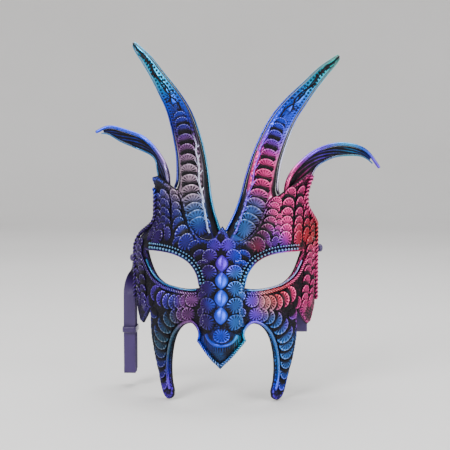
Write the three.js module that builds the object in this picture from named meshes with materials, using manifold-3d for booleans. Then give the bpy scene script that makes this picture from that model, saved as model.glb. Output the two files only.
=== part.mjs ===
// A horned, scale-covered half mask worn on the face and tied behind the head with two ribbons.
// Millimetres, +Z up. The mask looks along -Y, and the wearer's head is on the +Y side.
// The outlines are drawn as seen from the front, with z = 0 on the eye line and x = 0 on the nose.
// The group moves them so that the back of the forehead pad is the origin.
import * as THREE from 'three';
import { mergeVertices } from 'three/addons/utils/BufferGeometryUtils.js';
import Module from 'manifold-3d';

const wasm = await Module();
wasm.setup();

// Overall sizes
const faceHalfWidth = 76; // nose line to temple
const faceDrop = 106; // eye line to the tusk tips
const faceDepth = 62; // nose bridge to temple, front to back
const hornRise = 152; // notch between the horns to the horn tips
const hornLean = 3.7; // both horns lean to the mask's +X side, degrees
const drawnHalfWidth = 76; // the outlines below are drawn for this half width
const drawnDrop = 106; // and for this drop
const drawnRise = 152;

// Walls, layers and clearances
const shellWall = 2.5;
const liningWall = 1.0;
const liningGap = 1.1;
const layerGap = (0.6 * faceHalfWidth) / drawnHalfWidth; // shell to anything laid on it
const seamGap = 0.6; // between the horn and the face at their joint line
const trimGap = 0.5; // between neighbours on the same layer
const scaleThin = 0.6;
const scaleThick = 1.7;
const medallionThick = 2.2;

// Face relief
const cheekLine = -30;
const jawNarrowing = 10;
const jawLength = 60;
const crownFlareFrom = 60;
const crownFlare = 0.62;
const foreheadLean = 0.13;
const noseHeight = 20;
const noseTop = 24;
const noseLength = 72;
const bridgeHeight = 3;
const noseHalfWidth = 9;
const noseSpread = 7;
const browHeight = 4;
const browLine = 24;
const socketDepth = 6;
const cheekHeight = 5;
const tuskForward = 6;

// Edge of the mask at the temples, as an angle round the face
const wrapAngle = 98;
const wingTop = { left: [59, 72], right: [68, 82.5] };
const wingTopAngle = { left: 68, right: 64.5 };
const wingSweepFrom = { left: 14, right: 20 };
const wingSweepLength = { left: 24, right: 34 };
const footSweepFrom = -10;
const footSweepLength = 40;
const footAngle = 76;
const templeTuck = { left: 14, right: 0 }; // the left temple is bent in further above the eye

// Horns and side crescents
const hornSpans = 6; // flats across a horn's front, shared with the joint line
const hornWall = 2.2;
const hornDepth = 15;
const hornTipDepth = 5;
const hornBulge = 5;
const hornRowLift = 0.45; // the base of a horn is twisted, so its scales ride a little higher
const rimRadius = 1.3;
const rimTipShare = 0.5;
const hornWallLean = 3.4; // the side walls spread this far from front to back
const crescentThick = 3.6;
const crescentTopRim = 2.1;
const crescentLowRim = 0.9;
const crescentFront = -12;
const crescentGap = 1.1; // behind the shell
const crescentLowEnd = 0.94; // the lower rim stops short of the tip
const crescentTip = { left: [116, 106], right: [127, 91] };
const crescentShoulder = { left: [105, 111.5], right: [112, 106.5] };

// Trim
const cordRadius = 1.1;
const beadRadius = 1.2;
const braidRadius = 1.9;
const lidInset = 3.4;
const mouthInset = 2.2;
const braidInset = 3.4; // degrees in from the mask's back edge
const braidMost = 80; // the braid stays this many degrees round the face or less

// Ties
const eyeletHeight = { left: 5, right: 14 };
const eyeletBore = 2.2;
const eyeletBarrel = 2.9;
const eyeletFlange = 4.6;
const eyeletFlangeThick = 0.7;
const eyeletClearance = 0.35;
const eyeletSeat = (0.55 * faceHalfWidth) / drawnHalfWidth; // flange to the curved wall
const knotRadius = 3.6;
const knotLength = 5.4;
const knotNeck = 1.6;
const ribbonWidth = 10;
const ribbonThick = 1.2;
const hankDepth = { left: 18, right: 24 };
const hankRun = { left: 72, right: 56 };
const hankTop = { left: -24, right: -2 };
const hankX = { left: 82.6, right: 64.6 };
const tieBand = 5;
const tieWall = 0.9;

// Forehead pad, on the inside above the nose
const padHalfWidth = 24;
const padBottom = 6;
const padTop = 25;
const padThick = 9;
const padClearance = 1.9;

const radians = (degrees) => (degrees * Math.PI) / 180;
const widthScale = faceHalfWidth / drawnHalfWidth;
const dropScale = faceDrop / drawnDrop;
const riseScale = hornRise / drawnRise;
const notchZ = 28;
const notchPeak = 33; // the face rises to a point between the horns
const sides = { left: -1, right: 1 };

const clamp01 = (t) => Math.min(1, Math.max(0, t));
const mix = (a, b, t) => a + (b - a) * t;
// A value between evenly spaced ones.
function between(values, t) {
  const at = clamp01(t) * (values.length - 1);
  const k = Math.min(values.length - 2, Math.floor(at));
  return mix(values[k], values[k + 1], at - k);
}

const bell = (distance, width) => Math.exp(-((distance / width) ** 2));

function smooth(t) {
  const c = clamp01(t);
  return c * c * (3 - 2 * c);
}

// A drawn height to a real one: the horns stretch above the notch, the cheeks below the eye line.
function height(z) {
  if (z < 0) return z * dropScale;
  return z < notchZ ? z : notchZ + (z - notchZ) * riseScale;
}

// A drawn point on one side of the mask to its place, with the lean of the crown.
function place(side, [x, z]) {
  const lean = radians(hornLean) * smooth((z - 12) / 24);
  const dx = sides[side] * x * widthScale;
  const dz = height(z) - notchZ;
  return [
    dx * Math.cos(lean) + dz * Math.sin(lean),
    notchZ + dz * Math.cos(lean) - dx * Math.sin(lean),
  ];
}

// A smooth line through drawn points.
function line(points) {
  const curve = new THREE.CatmullRomCurve3(
    points.map(([x, z]) => new THREE.Vector3(x, 0, z)), false, 'catmullrom', 0.5);
  return (t) => {
    const p = curve.getPoint(clamp01(t));
    return [p.x, p.z];
  };
}

// ---- the mould surface, shared by the shell and by everything laid on it ----

function halfWidth(z, side) {
  const jaw = jawNarrowing * smooth((cheekLine * dropScale - z) / (jawLength * dropScale));
  const tuck = templeTuck[side] * smooth((z - wingSweepFrom[side]) / 30);
  const above = Math.max(0, z - crownFlareFrom);
  const flare = (crownFlare * above * above) / (above + 15);
  return faceHalfWidth + (flare - jaw - tuck) * widthScale;
}

function relief(x, z) {
  const across = Math.abs(x) / widthScale;
  const up = z < 0 ? z / dropScale : z;
  const nose = smooth((noseTop - up) / noseLength);
  const ridge = noseHeight * nose + bridgeHeight * smooth((44 - up) / 20);
  const brow = browHeight * bell(up - browLine, 13) * smooth(across / 20);
  const socket = socketDepth * bell(across - 42, 20) * bell(up + 1, 13);
  const cheek = cheekHeight * bell(across - 48, 17) * bell(up + 28, 14);
  const tusk = tuskForward * smooth((-60 - up) / 45);
  return ridge * bell(across, noseHalfWidth + noseSpread * nose) + brow - socket + cheek + tusk;
}

function mould(angle, z) {
  const x = halfWidth(z, angle < 0 ? 'left' : 'right') * Math.sin(angle);
  const above = Math.max(0, z - 15);
  const back = (foreheadLean * above * above) / (above + 40);
  const front = relief(x, z) * smooth(Math.cos(angle) / 0.4);
  return new THREE.Vector3(x, back - faceDepth * Math.cos(angle) - front, z);
}

function mouldNormal(angle, z) {
  const step = 0.004;
  const across = mould(angle + step, z).sub(mould(angle - step, z));
  const up = mould(angle, z + 0.3).sub(mould(angle, z - 0.3));
  return across.cross(up).normalize();
}

// A point `lift` outside the mould, at an angle round the face.
function skin(angle, z, lift) {
  return mould(angle, z).addScaledVector(mouldNormal(angle, z), lift);
}

function angleAt(x, z) {
  const share = x / halfWidth(z, x < 0 ? 'left' : 'right');
  return Math.asin(Math.min(0.999, Math.max(-0.999, share)));
}

function backEdge(side, z) {
  const upper = smooth((z - wingSweepFrom[side]) / wingSweepLength[side]);
  const lower = smooth((footSweepFrom - z) / footSweepLength);
  const angle = mix(wrapAngle, wingTopAngle[side], upper) - lower * (wrapAngle - footAngle);
  return radians(angle);
}

// ---- closed bodies ----

function bodyFrom(points, faces) {
  const geometry = new THREE.BufferGeometry();
  const flat = points.flatMap((p) => [p.x, p.y, p.z]);
  geometry.setAttribute('position', new THREE.Float32BufferAttribute(flat, 3));
  let volume = 0;
  for (const [a, b, c] of faces) {
    volume += points[a].dot(new THREE.Vector3().crossVectors(points[b], points[c]));
  }
  const outward = volume < 0 ? faces.map(([a, b, c]) => [a, c, b]) : faces;
  geometry.setIndex(outward.flat());
  return geometry;
}

// Rings of equal length joined in order, with both ends closed by the given triangles.
function loft(rings, capFaces) {
  const size = rings[0].length;
  const faces = [];
  for (let r = 0; r + 1 < rings.length; r += 1) {
    for (let k = 0; k < size; k += 1) {
      const a = r * size + k;
      const b = r * size + ((k + 1) % size);
      faces.push([a, b, b + size], [a, b + size, a + size]);
    }
  }
  const last = (rings.length - 1) * size;
  for (const [a, b, c] of capFaces) {
    faces.push([a, c, b], [last + a, last + b, last + c]);
  }
  return bodyFrom(rings.flat(), faces);
}

function fanCap(size) {
  return Array.from({ length: size - 2 }, (_, k) => [0, k + 1, k + 2]);
}

// A ring that runs out along one face and back along the other is capped in pairs.
function pairCap(half) {
  const faces = [];
  for (let k = 0; k + 1 < half; k += 1) {
    const far = 2 * half - 1 - k;
    faces.push([k, k + 1, far - 1], [k, far - 1, far]);
  }
  return faces;
}

// A plate with `columns` by `rows` spans; pointAt(i, j, outer) gives its outer and inner faces.
function plate(columns, rows, pointAt) {
  const rings = [];
  for (let i = 0; i <= columns; i += 1) {
    const out = Array.from({ length: rows + 1 }, (_, j) => pointAt(i, j, true));
    const back = Array.from({ length: rows + 1 }, (_, j) => pointAt(i, rows - j, false));
    rings.push([...out, ...back]);
  }
  return loft(rings, pairCap(rows + 1));
}

// An oval section carried along stations of {centre, across, up, wide, tall}.
function sweep(stations, count) {
  const rings = stations.map(({ centre, across, up, wide, tall }) =>
    Array.from({ length: count }, (_, k) => {
      const turn = ((k + 0.5) * 2 * Math.PI) / count;
      return centre.clone()
        .addScaledVector(across, wide * Math.cos(turn))
        .addScaledVector(up, tall * Math.sin(turn));
    }));
  return loft(rings, fanCap(count));
}

function solid(geometry) {
  const bare = geometry.clone();
  bare.deleteAttribute('normal');
  bare.deleteAttribute('uv');
  const merged = mergeVertices(bare, 1e-4);
  return new wasm.Manifold(new wasm.Mesh({
    numProp: 3,
    vertProperties: new Float32Array(merged.attributes.position.array),
    triVerts: new Uint32Array(merged.index.array),
  }));
}

function unsolid(body) {
  const mesh = body.getMesh();
  const geometry = new THREE.BufferGeometry();
  geometry.setAttribute('position', new THREE.Float32BufferAttribute(mesh.vertProperties, 3));
  geometry.setIndex([...mesh.triVerts]);
  return geometry;
}

// A front-view outline carried straight through the mask along Y.
function prism(outline) {
  const shape = new THREE.Shape(outline.map(([x, z]) => new THREE.Vector2(x, z)));
  const geometry = new THREE.ExtrudeGeometry(shape, { depth: 400, bevelEnabled: false });
  geometry.rotateX(Math.PI / 2);
  geometry.translate(0, 200, 0);
  return solid(geometry);
}

// ---- outlines, drawn for the +X side ----

const upperLid = line([[18.5, -13], [21.5, -2], [28, 7], [38, 12.5], [50, 14.5], [65, 14.5]]);
const lowerLid = line([[18.5, -13], [25, -14.2], [35, -13.6], [48, -10.4], [57.5, -2.5], [65, 14.5]]);
const mouthEdge = line([[19.5, -54.5], [18.3, -49], [20.5, -44.5], [25.5, -42], [32, -45],
  [37.5, -52.5], [41, -64], [42.5, -77], [42, -89], [40, -98]]);
const tuskOuter = line([[40, -98], [41, -103.5], [45.5, -106], [50, -101.5], [54, -87],
  [58.5, -70], [61, -52], [60.5, -31.5]]);
const wingFoot = line([[60.5, -31.5], [64, -39], [69.5, -48.5]]);
const hornSeam = line([[0.4, 28.2], [9, 25.5], [18, 27.5], [24.5, 35], [29, 44], [32, 53],
  [36.5, 61], [44, 64]]);
const hornInner = line([[0.4, 28.2], [7.3, 44.5], [11.5, 59], [15, 78], [19.5, 96], [26, 114],
  [33.5, 129], [44, 143], [57, 157], [68, 169], [79, 178], [85, 182]]);
const hornOuter = line([[44, 64], [42.2, 70], [42.3, 79], [43.5, 91], [46.5, 104], [50, 116],
  [54, 127], [60, 138], [67, 150], [75, 162], [83, 173], [86, 179]]);

function samples(curve, count, from = 0, to = 1) {
  return Array.from({ length: count + 1 }, (_, k) => curve(mix(from, to, k / count)));
}

// The drawn place on a horn at `along` from the seam to the tip and `over` from inner to outer edge.
function hornDrawn(along, over) {
  const a = hornInner(along);
  const b = hornOuter(along);
  const a0 = hornInner(0);
  const b0 = hornOuter(0);
  const seam = hornSeam(over);
  const pull = 1 - smooth(along / 0.3);
  return [0, 1].map((k) => mix(a[k], b[k], over) + (seam[k] - mix(a0[k], b0[k], over)) * pull);
}

// The face's own side of the joint line, clear of the horn.
function seamEdge(over) {
  const a = hornSeam(over - 1 / hornSpans);
  const b = hornSeam(over + 1 / hornSpans);
  const p = hornSeam(over);
  const length = Math.hypot(b[0] - a[0], b[1] - a[1]);
  return [p[0] + ((b[1] - a[1]) / length) * seamGap, p[1] - ((b[0] - a[0]) / length) * seamGap];
}

function faceOutline() {
  const half = (side) => {
    const top = wingTop[side];
    const tip = place(side, top);
    const { shoulder } = hornInsets(side, 0);
    const flats = Array.from({ length: hornSpans + 1 },
      (_, k) => mix(shoulder, 1 - shoulder, k / hornSpans));
    const seam = [...flats, 1].map((over) => place(side, seamEdge(over)));
    const nose = line([[0, -74], [5, -69.5], [12.5, -61.5], [19.5, -54.5]]);
    return [
      ...samples(nose, 5).map((p) => place(side, p)),
      ...samples(mouthEdge, 20, 0.05).map((p) => place(side, p)),
      ...samples(tuskOuter, 14, 0.07).map((p) => place(side, p)),
      ...samples(wingFoot, 6, 0.15).map((p) => place(side, p)),
      [sides[side] * (faceHalfWidth + 12), height(-47)],
      [sides[side] * (faceHalfWidth + 12), tip[1] - 8],
      tip,
      ...seam.reverse(),
      place(side, [0, notchPeak]),
    ];
  };
  const right = half('right');
  const left = half('left').reverse();
  return [...right, ...left.slice(1, -1)];
}

function eyeOutline(side, inset = 0) {
  const loop = [...samples(upperLid, 12), ...samples(lowerLid, 12).reverse().slice(1, -1)];
  return loop.map((p) => {
    const out = [p[0] - 42, p[1] - 1];
    const length = Math.hypot(...out) || 1;
    return place(side, [p[0] + (out[0] * inset) / length, p[1] + (out[1] * inset) / length]);
  });
}

// ---- shells ----

// Columns bunch together on the nose, where the face bends most.
function columnAngle(i, columns, side, z, trim) {
  const t = i / columns;
  return mix(0, 1, 0.62 * t + 0.38 * t * t * t) * (backEdge(side, z) - trim);
}

function faceSheet(columns, rows, low, high, outer, inner, trim) {
  const at = (i, j, isOuter) => {
    const side = i < columns ? 'left' : 'right';
    const z = mix(low, high, j / rows);
    const angle = sides[side] * columnAngle(Math.abs(i - columns), columns, side, z, trim);
    return skin(angle, z, isOuter ? outer : inner);
  };
  return solid(plate(2 * columns, rows, at));
}

function eyeletHole(side, radius) {
  const bar = new THREE.CylinderGeometry(radius, radius, 30, 14);
  bar.rotateZ(Math.PI / 2);
  bar.translate(sides[side] * faceHalfWidth, 0, eyeletHeight[side]);
  return solid(bar);
}

function faceShell() {
  const low = height(-110);
  const high = height(92);
  let body = faceSheet(18, 30, low, high, 0, -shellWall, 0).intersect(prism(faceOutline()));
  for (const side of Object.keys(sides)) {
    body = body.subtract(prism(eyeOutline(side)));
    body = body.subtract(eyeletHole(side, eyeletBarrel + eyeletClearance));
  }
  return unsolid(body);
}

function liningOutline() {
  const drawn = [[16, 22], [30, 34], [40, 46], [52, 52], [66, 42], [90, 30], [90, -20], [66, -26],
    [57, -36], [50, -40], [40, -40], [30, -36], [22, -28], [17, -14], [14, 2]];
  const right = samples(line(drawn), 30).map((p) => place('right', p));
  const left = samples(line(drawn), 30).map((p) => place('left', p)).reverse();
  return [...right, ...left];
}

function lining() {
  const top = -shellWall - liningGap;
  const sheet = faceSheet(9, 12, height(-48), height(66), top, top - liningWall, radians(20));
  let body = sheet.intersect(prism(liningOutline()));
  for (const side of Object.keys(sides)) {
    body = body.subtract(prism(eyeOutline(side, 3)));
  }
  return unsolid(body);
}

const padFront = shellWall + liningGap + liningWall + padClearance; // measured along Y
const padBack = mould(0, 16).y + padFront + padThick;

function foreheadPad() {
  const at = (i, j, isFront) => {
    const x = mix(-padHalfWidth, padHalfWidth, i / 8) * widthScale;
    const z = mix(padBottom, padTop, j / 3);
    const depth = mould(angleAt(x, z), z).y + padFront;
    return new THREE.Vector3(x, isFront ? depth : padBack, z);
  };
  return plate(8, 3, at);
}

// ---- horns and crescents ----

function hornSkin(side, along, over, lift) {
  const spot = (a, o) => {
    const [x, z] = place(side, hornDrawn(a, o));
    const p = mould(angleAt(x, z), z);
    const wide = Math.hypot(hornOuter(a)[0] - hornInner(a)[0], hornOuter(a)[1] - hornInner(a)[1]);
    p.y -= hornBulge * Math.sin(Math.PI * clamp01(o)) * Math.min(1, wide / 32) * smooth(a / 0.12);
    return p;
  };
  const a0 = Math.max(0, along - 0.004);
  const a1 = Math.min(1, along + 0.004);
  const up = spot(a1, over).sub(spot(a0, over));
  const across = spot(along, over + 0.02).sub(spot(along, over - 0.02));
  const normal = across.cross(up).normalize().multiplyScalar(sides[side]);
  return spot(along, over).addScaledVector(normal, lift);
}

// Where a horn's back edge and its front shoulder lie across its width, at one station.
function hornInsets(side, along) {
  const wide = hornSkin(side, along, 0, 0).distanceTo(hornSkin(side, along, 1, 0));
  const rim = rimRadius * mix(1, rimTipShare, along);
  const edge = Math.min(0.36, (2 * rim + seamGap) / wide);
  const shoulder = edge + Math.min(0.11, (hornWallLean * mix(1, 0.3, along)) / wide);
  return { wide, rim, edge, shoulder };
}

const hornDepthAt = (along) => mix(hornDepth, hornTipDepth, smooth(along));

// A point on the line between a horn's two silhouette edges, `into` behind the front.
function hornChord(side, along, over, into) {
  const a = hornSkin(side, along, 0, 0);
  const b = hornSkin(side, along, 1, 0);
  return a.lerp(b, over).add(new THREE.Vector3(0, into, 0));
}

function horn(side) {
  const rings = [];
  const steps = 15;
  for (let i = 0; i <= steps; i += 1) {
    const along = 0.985 * (i / steps);
    const { wide, edge, shoulder } = hornInsets(side, along);
    const depth = hornDepthAt(along);
    const hollow = mix(hornWall, depth - 0.6, smooth((along - 0.78) / 0.14));
    const wall = Math.min(0.03 + (0.47 - shoulder) * 0.4, hornWall / wide);
    const front = (v) => hornSkin(side, along, mix(shoulder, 1 - shoulder, v), 0);
    const inside = (v) => {
      const p = hornSkin(side, along, mix(shoulder + wall, 1 - shoulder - wall, v), 0);
      return p.add(new THREE.Vector3(0, hollow, 0));
    };
    const spans = Array.from({ length: hornSpans + 1 }, (_, k) => k / hornSpans);
    rings.push([
      hornChord(side, along, edge, depth), ...spans.map(front), hornChord(side, along, 1 - edge, depth),
      hornChord(side, along, 1 - edge - wall, depth), ...spans.map(inside).reverse(),
      hornChord(side, along, edge + wall, depth),
    ]);
  }
  return loft(rings, pairCap(hornSpans + 3));
}

// A rolled rim along one back edge of a horn; `far` is 0 on the inner side and 1 on the outer.
function hornRim(side, far) {
  const stations = [];
  for (let i = 0; i <= 18; i += 1) {
    const at = (s) => {
      const along = mix(0.02, 0.975, s);
      const { wide, rim } = hornInsets(side, along);
      const over = rim / wide;
      return { centre: hornChord(side, along, far ? 1 - over : over, hornDepthAt(along) - rim), rim };
    };
    const { centre, rim } = at(i / 18);
    const along = at(i / 18 + 0.01).centre.sub(centre).normalize();
    const up = new THREE.Vector3(0, -1, 0).addScaledVector(along, along.y).normalize();
    const across = along.clone().cross(up);
    stations.push({ centre, across, up, wide: rim, tall: rim });
  }
  return sweep(stations, 6);
}

// A stem that climbs beside a horn's scales and winds over its upper part.
function hornVine(side) {
  const stations = [];
  const steps = 36;
  for (let i = 0; i <= steps; i += 1) {
    const t = i / steps;
    const at = (s) => {
      const along = mix(0.07, 0.92, s);
      const climb = smooth((s - 0.58) / 0.1);
      const wave = 0.14 * (1 - 0.5 * s) * Math.sin((s - 0.6) * Math.PI * 12);
      return hornSkin(side, along, mix(0.27, 0.5 + wave, climb), cordRadius + layerGap + hornRowLift);
    };
    const centre = at(t);
    const along = at(Math.min(1, t + 0.01)).sub(at(Math.max(0, t - 0.01))).normalize();
    const up = new THREE.Vector3(0, -1, 0).addScaledVector(along, along.y).normalize();
    const across = along.clone().cross(up);
    const thin = cordRadius * mix(1, 0.55, t);
    stations.push({ centre, across, up, wide: thin, tall: thin });
  }
  return sweep(stations, 4);
}

function crescentEdges(side) {
  const tip = crescentTip[side];
  const shoulder = crescentShoulder[side];
  const base = wingTop[side][0];
  const top = line([[47, 60], [49, 77], [58, 91], [73, 104], [92, 110], shoulder, tip]);
  const bottom = line([[base - 3, 60], [base, 74], [base + 5, 87], [82, 94], [93, 98],
    [shoulder[0] - 1, shoulder[1] - 8], [tip[0] - 2.5, tip[1] - 2]]);
  return { top, bottom };
}

// A point on a crescent's front: `t` from base to tip, `over` from its top edge down, in shares.
function crescentFace(side, t, over) {
  const { top, bottom } = crescentEdges(side);
  const [ax, az] = place(side, top(t));
  const [bx, bz] = place(side, bottom(t));
  const x = mix(ax, bx, over);
  const z = mix(az, bz, over);
  const angle = angleAt(x, z);
  const behind = mould(angle, z).y + (shellWall + crescentGap) / Math.max(0.3, Math.cos(angle));
  return new THREE.Vector3(x, mix(behind, crescentFront, smooth((t - 0.15) / 0.45)), z);
}

function crescentHeight(side, t) {
  return crescentFace(side, t, 0).distanceTo(crescentFace(side, t, 1));
}

const crescentRim = (low, t) => (low ? crescentLowRim : crescentTopRim) * mix(1, 0.6, t);

function crescent(side) {
  const rings = [];
  for (let i = 0; i <= 14; i += 1) {
    const t = mix(0, 0.9, i / 14);
    const tall = crescentHeight(side, t);
    const high = Math.min(0.7, (2.6 * crescentRim(false, t) + trimGap) / tall);
    const low = 1 - Math.min(0.3, (2.6 * crescentRim(true, t) + trimGap) / tall);
    const thick = crescentThick * mix(1, 0.5, t);
    const at = (over, into) => crescentFace(side, t, over).add(new THREE.Vector3(0, into * thick, 0));
    rings.push([at(high, 0.3), at(mix(high, low, 0.5), 0.6), at(low, 0.3), at(low, 1),
      at(mix(high, low, 0.5), 1.25), at(high, 1)]);
  }
  return loft(rings, pairCap(3));
}

// The rolled rims above and below a crescent's blade.
function crescentEdge(side, isLow) {
  const stations = [];
  for (let i = 0; i <= 16; i += 1) {
    const at = (s) => {
      const t = clamp01(mix(isLow ? 0.12 : 0, isLow ? crescentLowEnd : 1, s));
      const rim = crescentRim(isLow, t);
      const over = rim / crescentHeight(side, t);
      return { centre: crescentFace(side, t, isLow ? 1 - over : over), rim };
    };
    const s = (i / 16) * 0.985;
    const { centre, rim } = at(s);
    const along = at(s + 0.01).centre.sub(centre).normalize();
    const up = new THREE.Vector3(0, -1, 0).addScaledVector(along, along.y).normalize();
    const across = along.clone().cross(up);
    centre.y += rim;
    stations.push({ centre, across, up, wide: rim, tall: rim });
  }
  return sweep(stations, 6);
}

// ---- rows of scales ----

// A row that runs along a drawn line. Each scale rises to its free edge, which bows along the row.
function scaleRow(count, widths, bow, pointAt) {
  const stations = [];
  for (let i = 0; i < count; i += 1) {
    stations.push([i / count + 0.02 / count, scaleThin], [(i + 1) / count - 0.1 / count, scaleThick]);
  }
  const at = (i, j, isTop) => {
    const [s, rise] = stations[i];
    const over = mix(-1, 1, j / 3);
    const shift = (bow * (1 - over * over)) / count;
    const across = over * between(widths, s);
    const edge = isTop ? rise * mix(0.55, 1, 1 - Math.abs(over)) + layerGap : layerGap;
    return pointAt(s + shift - bow / count, across, edge);
  };
  return plate(stations.length - 1, 3, at);
}

// Rows on the face are laid out on the unrolled face, so that a scale keeps its width round the side.
function faceRow(side, { keys, column, count, widths }, bow = 0.3) {
  const curve = line(keys ?? column[side]);
  const unrolled = (s) => {
    const [a, b] = curve(s);
    if (column) return [sides[side] * radians(a) * faceHalfWidth, height(b)];
    const [x, z] = place(side, [a, b]);
    return [angleAt(x, z) * faceHalfWidth, z];
  };
  return scaleRow(count, widths, bow, (s, across, lift) => {
    const t = Math.max(0, s);
    const [u, z] = unrolled(t);
    const [u0, z0] = unrolled(Math.max(0, t - 0.01));
    const [u1, z1] = unrolled(Math.min(1, t + 0.01));
    const length = Math.hypot(u1 - u0, z1 - z0);
    const au = u - ((z1 - z0) / length) * across * sides[side] * -1;
    const az = z + ((u1 - u0) / length) * across * sides[side] * -1;
    return skin(au / faceHalfWidth, az, lift);
  });
}

function hornRow(side) {
  const centre = (s) => mix(0.56, 0.52, s);
  return scaleRow(13, [0.22, 0.21, 0.16], 0.3, (s, across, lift) => {
    const along = mix(0.06, 0.6, Math.max(0, s));
    return hornSkin(side, along, centre(clamp01(s)) + across, lift + hornRowLift);
  });
}

// keys are drawn points; a column runs up the side, as [angle round the face, height] points.
const faceRows = {
  brow_scales: { keys: [[26.5, 20], [32, 28], [36.2, 36.5], [38, 45], [39.5, 53], [41.5, 59]],
    count: 7, widths: [5.6, 3.4] },
  temple_scales: { column: { left: [[48, 22], [50, 34], [51, 48], [51.5, 63]],
    right: [[41, 22], [42, 34], [43, 48], [46, 65]] }, count: 6, widths: [5.2, 4.6] },
  outer_temple_scales: { column: { left: [[58, 25], [59.3, 40], [59.3, 60]],
    right: [[52.5, 22], [53.2, 40], [55.3, 66]] }, count: 6, widths: [3.9, 3.4] },
  side_scales: { column: { left: [[58, -38], [62, -22], [66, -4], [68, 9], [69, 20]],
    right: [[58, -38], [62, -22], [66, -4], [68, 9], [67, 24]] }, count: 9, widths: [3, 4.6, 4.6] },
  cheek_scales: { keys: [[26, -23.3], [36, -25.3], [47, -24.3], [56, -18.8]],
    count: 6, widths: [5, 5.4] },
  tusk_scales: { keys: [[24.5, -34.2], [33, -35.2], [43, -40], [50, -52], [51.5, -66], [50, -81],
    [46.3, -97]], count: 11, widths: [3.4, 5, 8.6, 7.4, 3] },
};

// ---- cords, beads and braids laid on the face ----

// A cord along drawn points, pushed sideways by `inset`; `swell` gives beads or ribs.
function faceCord(side, curve, { inset, radius, steps, from, to, swell = () => 1 }) {
  const at = (t) => {
    const [x0, z0] = place(side, curve(clamp01(t - 0.01)));
    const [x1, z1] = place(side, curve(clamp01(t + 0.01)));
    const [x, z] = place(side, curve(t));
    const length = Math.hypot(x1 - x0, z1 - z0);
    const px = x - ((z1 - z0) / length) * inset * sides[side];
    const pz = z + ((x1 - x0) / length) * inset * sides[side];
    return { angle: angleAt(px, pz), z: pz };
  };
  const spot = (t) => {
    const p = at(clamp01(t));
    return skin(p.angle, p.z, radius + layerGap);
  };
  const stations = [];
  for (let i = 0; i <= steps; i += 1) {
    const t = mix(from, to, i / steps);
    const p = at(t);
    const centre = skin(p.angle, p.z, radius + layerGap);
    const up = mouldNormal(p.angle, p.z);
    const along = spot(Math.min(1, t + 0.005)).sub(spot(Math.max(0, t - 0.005))).normalize();
    const across = along.cross(up).normalize();
    const size = radius * swell(i);
    stations.push({ centre, across, up, wide: size, tall: size });
  }
  return sweep(stations, 5);
}

const lidBeads = (side) => faceCord(side, upperLid,
  { inset: lidInset, radius: beadRadius, steps: 34, from: 0.04, to: 0.96, swell: bead });
const lowerLidCord = (side) => faceCord(side, lowerLid,
  { inset: -lidInset, radius: cordRadius, steps: 14, from: 0.1, to: 0.9 });
const mouthCord = (side) => faceCord(side, mouthEdge,
  { inset: mouthInset, radius: cordRadius, steps: 22, from: 0.06, to: 0.97 });

const bead = (i) => (i % 2 ? 1 : 0.45);
const rib = (i) => (i % 2 ? 1 : 0.72);

function wingBraid(side) {
  const stations = [];
  const steps = 30;
  const inner = (h) => backEdge(side, h) - radians(braidInset);
  const angleOf = (h) => sides[side] * Math.min(radians(braidMost), inner(h));
  for (let i = 0; i <= steps; i += 1) {
    const z = mix(-26 * dropScale, height(wingTop[side][1] - 7), i / steps);
    const angle = angleOf(z);
    const lift = braidRadius + layerGap;
    const centre = skin(angle, z, lift);
    const up = mouldNormal(angle, z);
    const along = skin(angleOf(z + 0.5), z + 0.5, lift).sub(skin(angleOf(z - 0.5), z - 0.5, lift));
    const across = along.normalize().cross(up).normalize();
    const size = braidRadius * rib(i);
    stations.push({ centre, across, up, wide: size, tall: size * 0.8 });
  }
  return sweep(stations, 5);
}

// ---- nose ----

const medallionTop = 21;
const medallionPitch = 13.5;
const medallionCount = 5;
const medallionHalf = 4.2;
const medallionNeck = 1.4;
const flankCount = 5;
const flankTop = 19;
const flankBottom = -45;
const flankX = [9.1, 10.1]; // from the nose line, at the top and at the bottom
const flankHalf = 3.9;
const flankNeck = 1.1;
const tipPlateHalf = 15.5;
const noseBraidHalf = 17.6;

// Oval medallions down the ridge, joined by narrow necks.
function noseMedallions() {
  const steps = medallionCount * 4;
  const at = (i, j, isTop) => {
    const t = i / steps;
    const drawn = medallionTop + 6 - t * medallionCount * medallionPitch;
    const lobe = Math.abs(Math.sin(t * medallionCount * Math.PI));
    const half = mix(medallionNeck, medallionHalf, lobe) * widthScale;
    const over = mix(-1, 1, j / 4);
    const z = height(drawn);
    const rise = isTop ? medallionThick * mix(0.5, 1, lobe) * (1 - 0.6 * over * over) : 0;
    return skin(angleAt(over * half, z), z, layerGap + rise);
  };
  return plate(steps, 4, at);
}

// Discs beside the ridge, joined edge to edge, each between two of the ridge's medallions.
function noseFlank(side) {
  const steps = flankCount * 4;
  const at = (i, j, isTop) => {
    const t = i / steps;
    const lobe = Math.abs(Math.sin(t * flankCount * Math.PI));
    const half = mix(flankNeck, flankHalf, lobe);
    const z = height(mix(flankTop, flankBottom, t));
    const x = sides[side] * (mix(flankX[0], flankX[1], t) + mix(-half, half, j / 3)) * widthScale;
    const rise = isTop ? scaleThick * mix(0.5, 1, lobe) : 0;
    return skin(angleAt(x, z), z, layerGap + rise);
  };
  return plate(steps, 3, at);
}

function noseTipPlate() {
  const columns = 10;
  const at = (i, j, isTop) => {
    const over = mix(-1, 1, i / columns);
    const low = mix(-68.5, -52.5, Math.abs(over) ** 1.1);
    const high = mix(-43.5, -51, Math.abs(over) ** 1.6);
    const z = height(mix(low, high, j / 4));
    const x = over * tipPlateHalf * widthScale;
    return skin(angleAt(x, z), z, layerGap + (isTop ? 1.5 : 0));
  };
  return plate(columns, 4, at);
}

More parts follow.
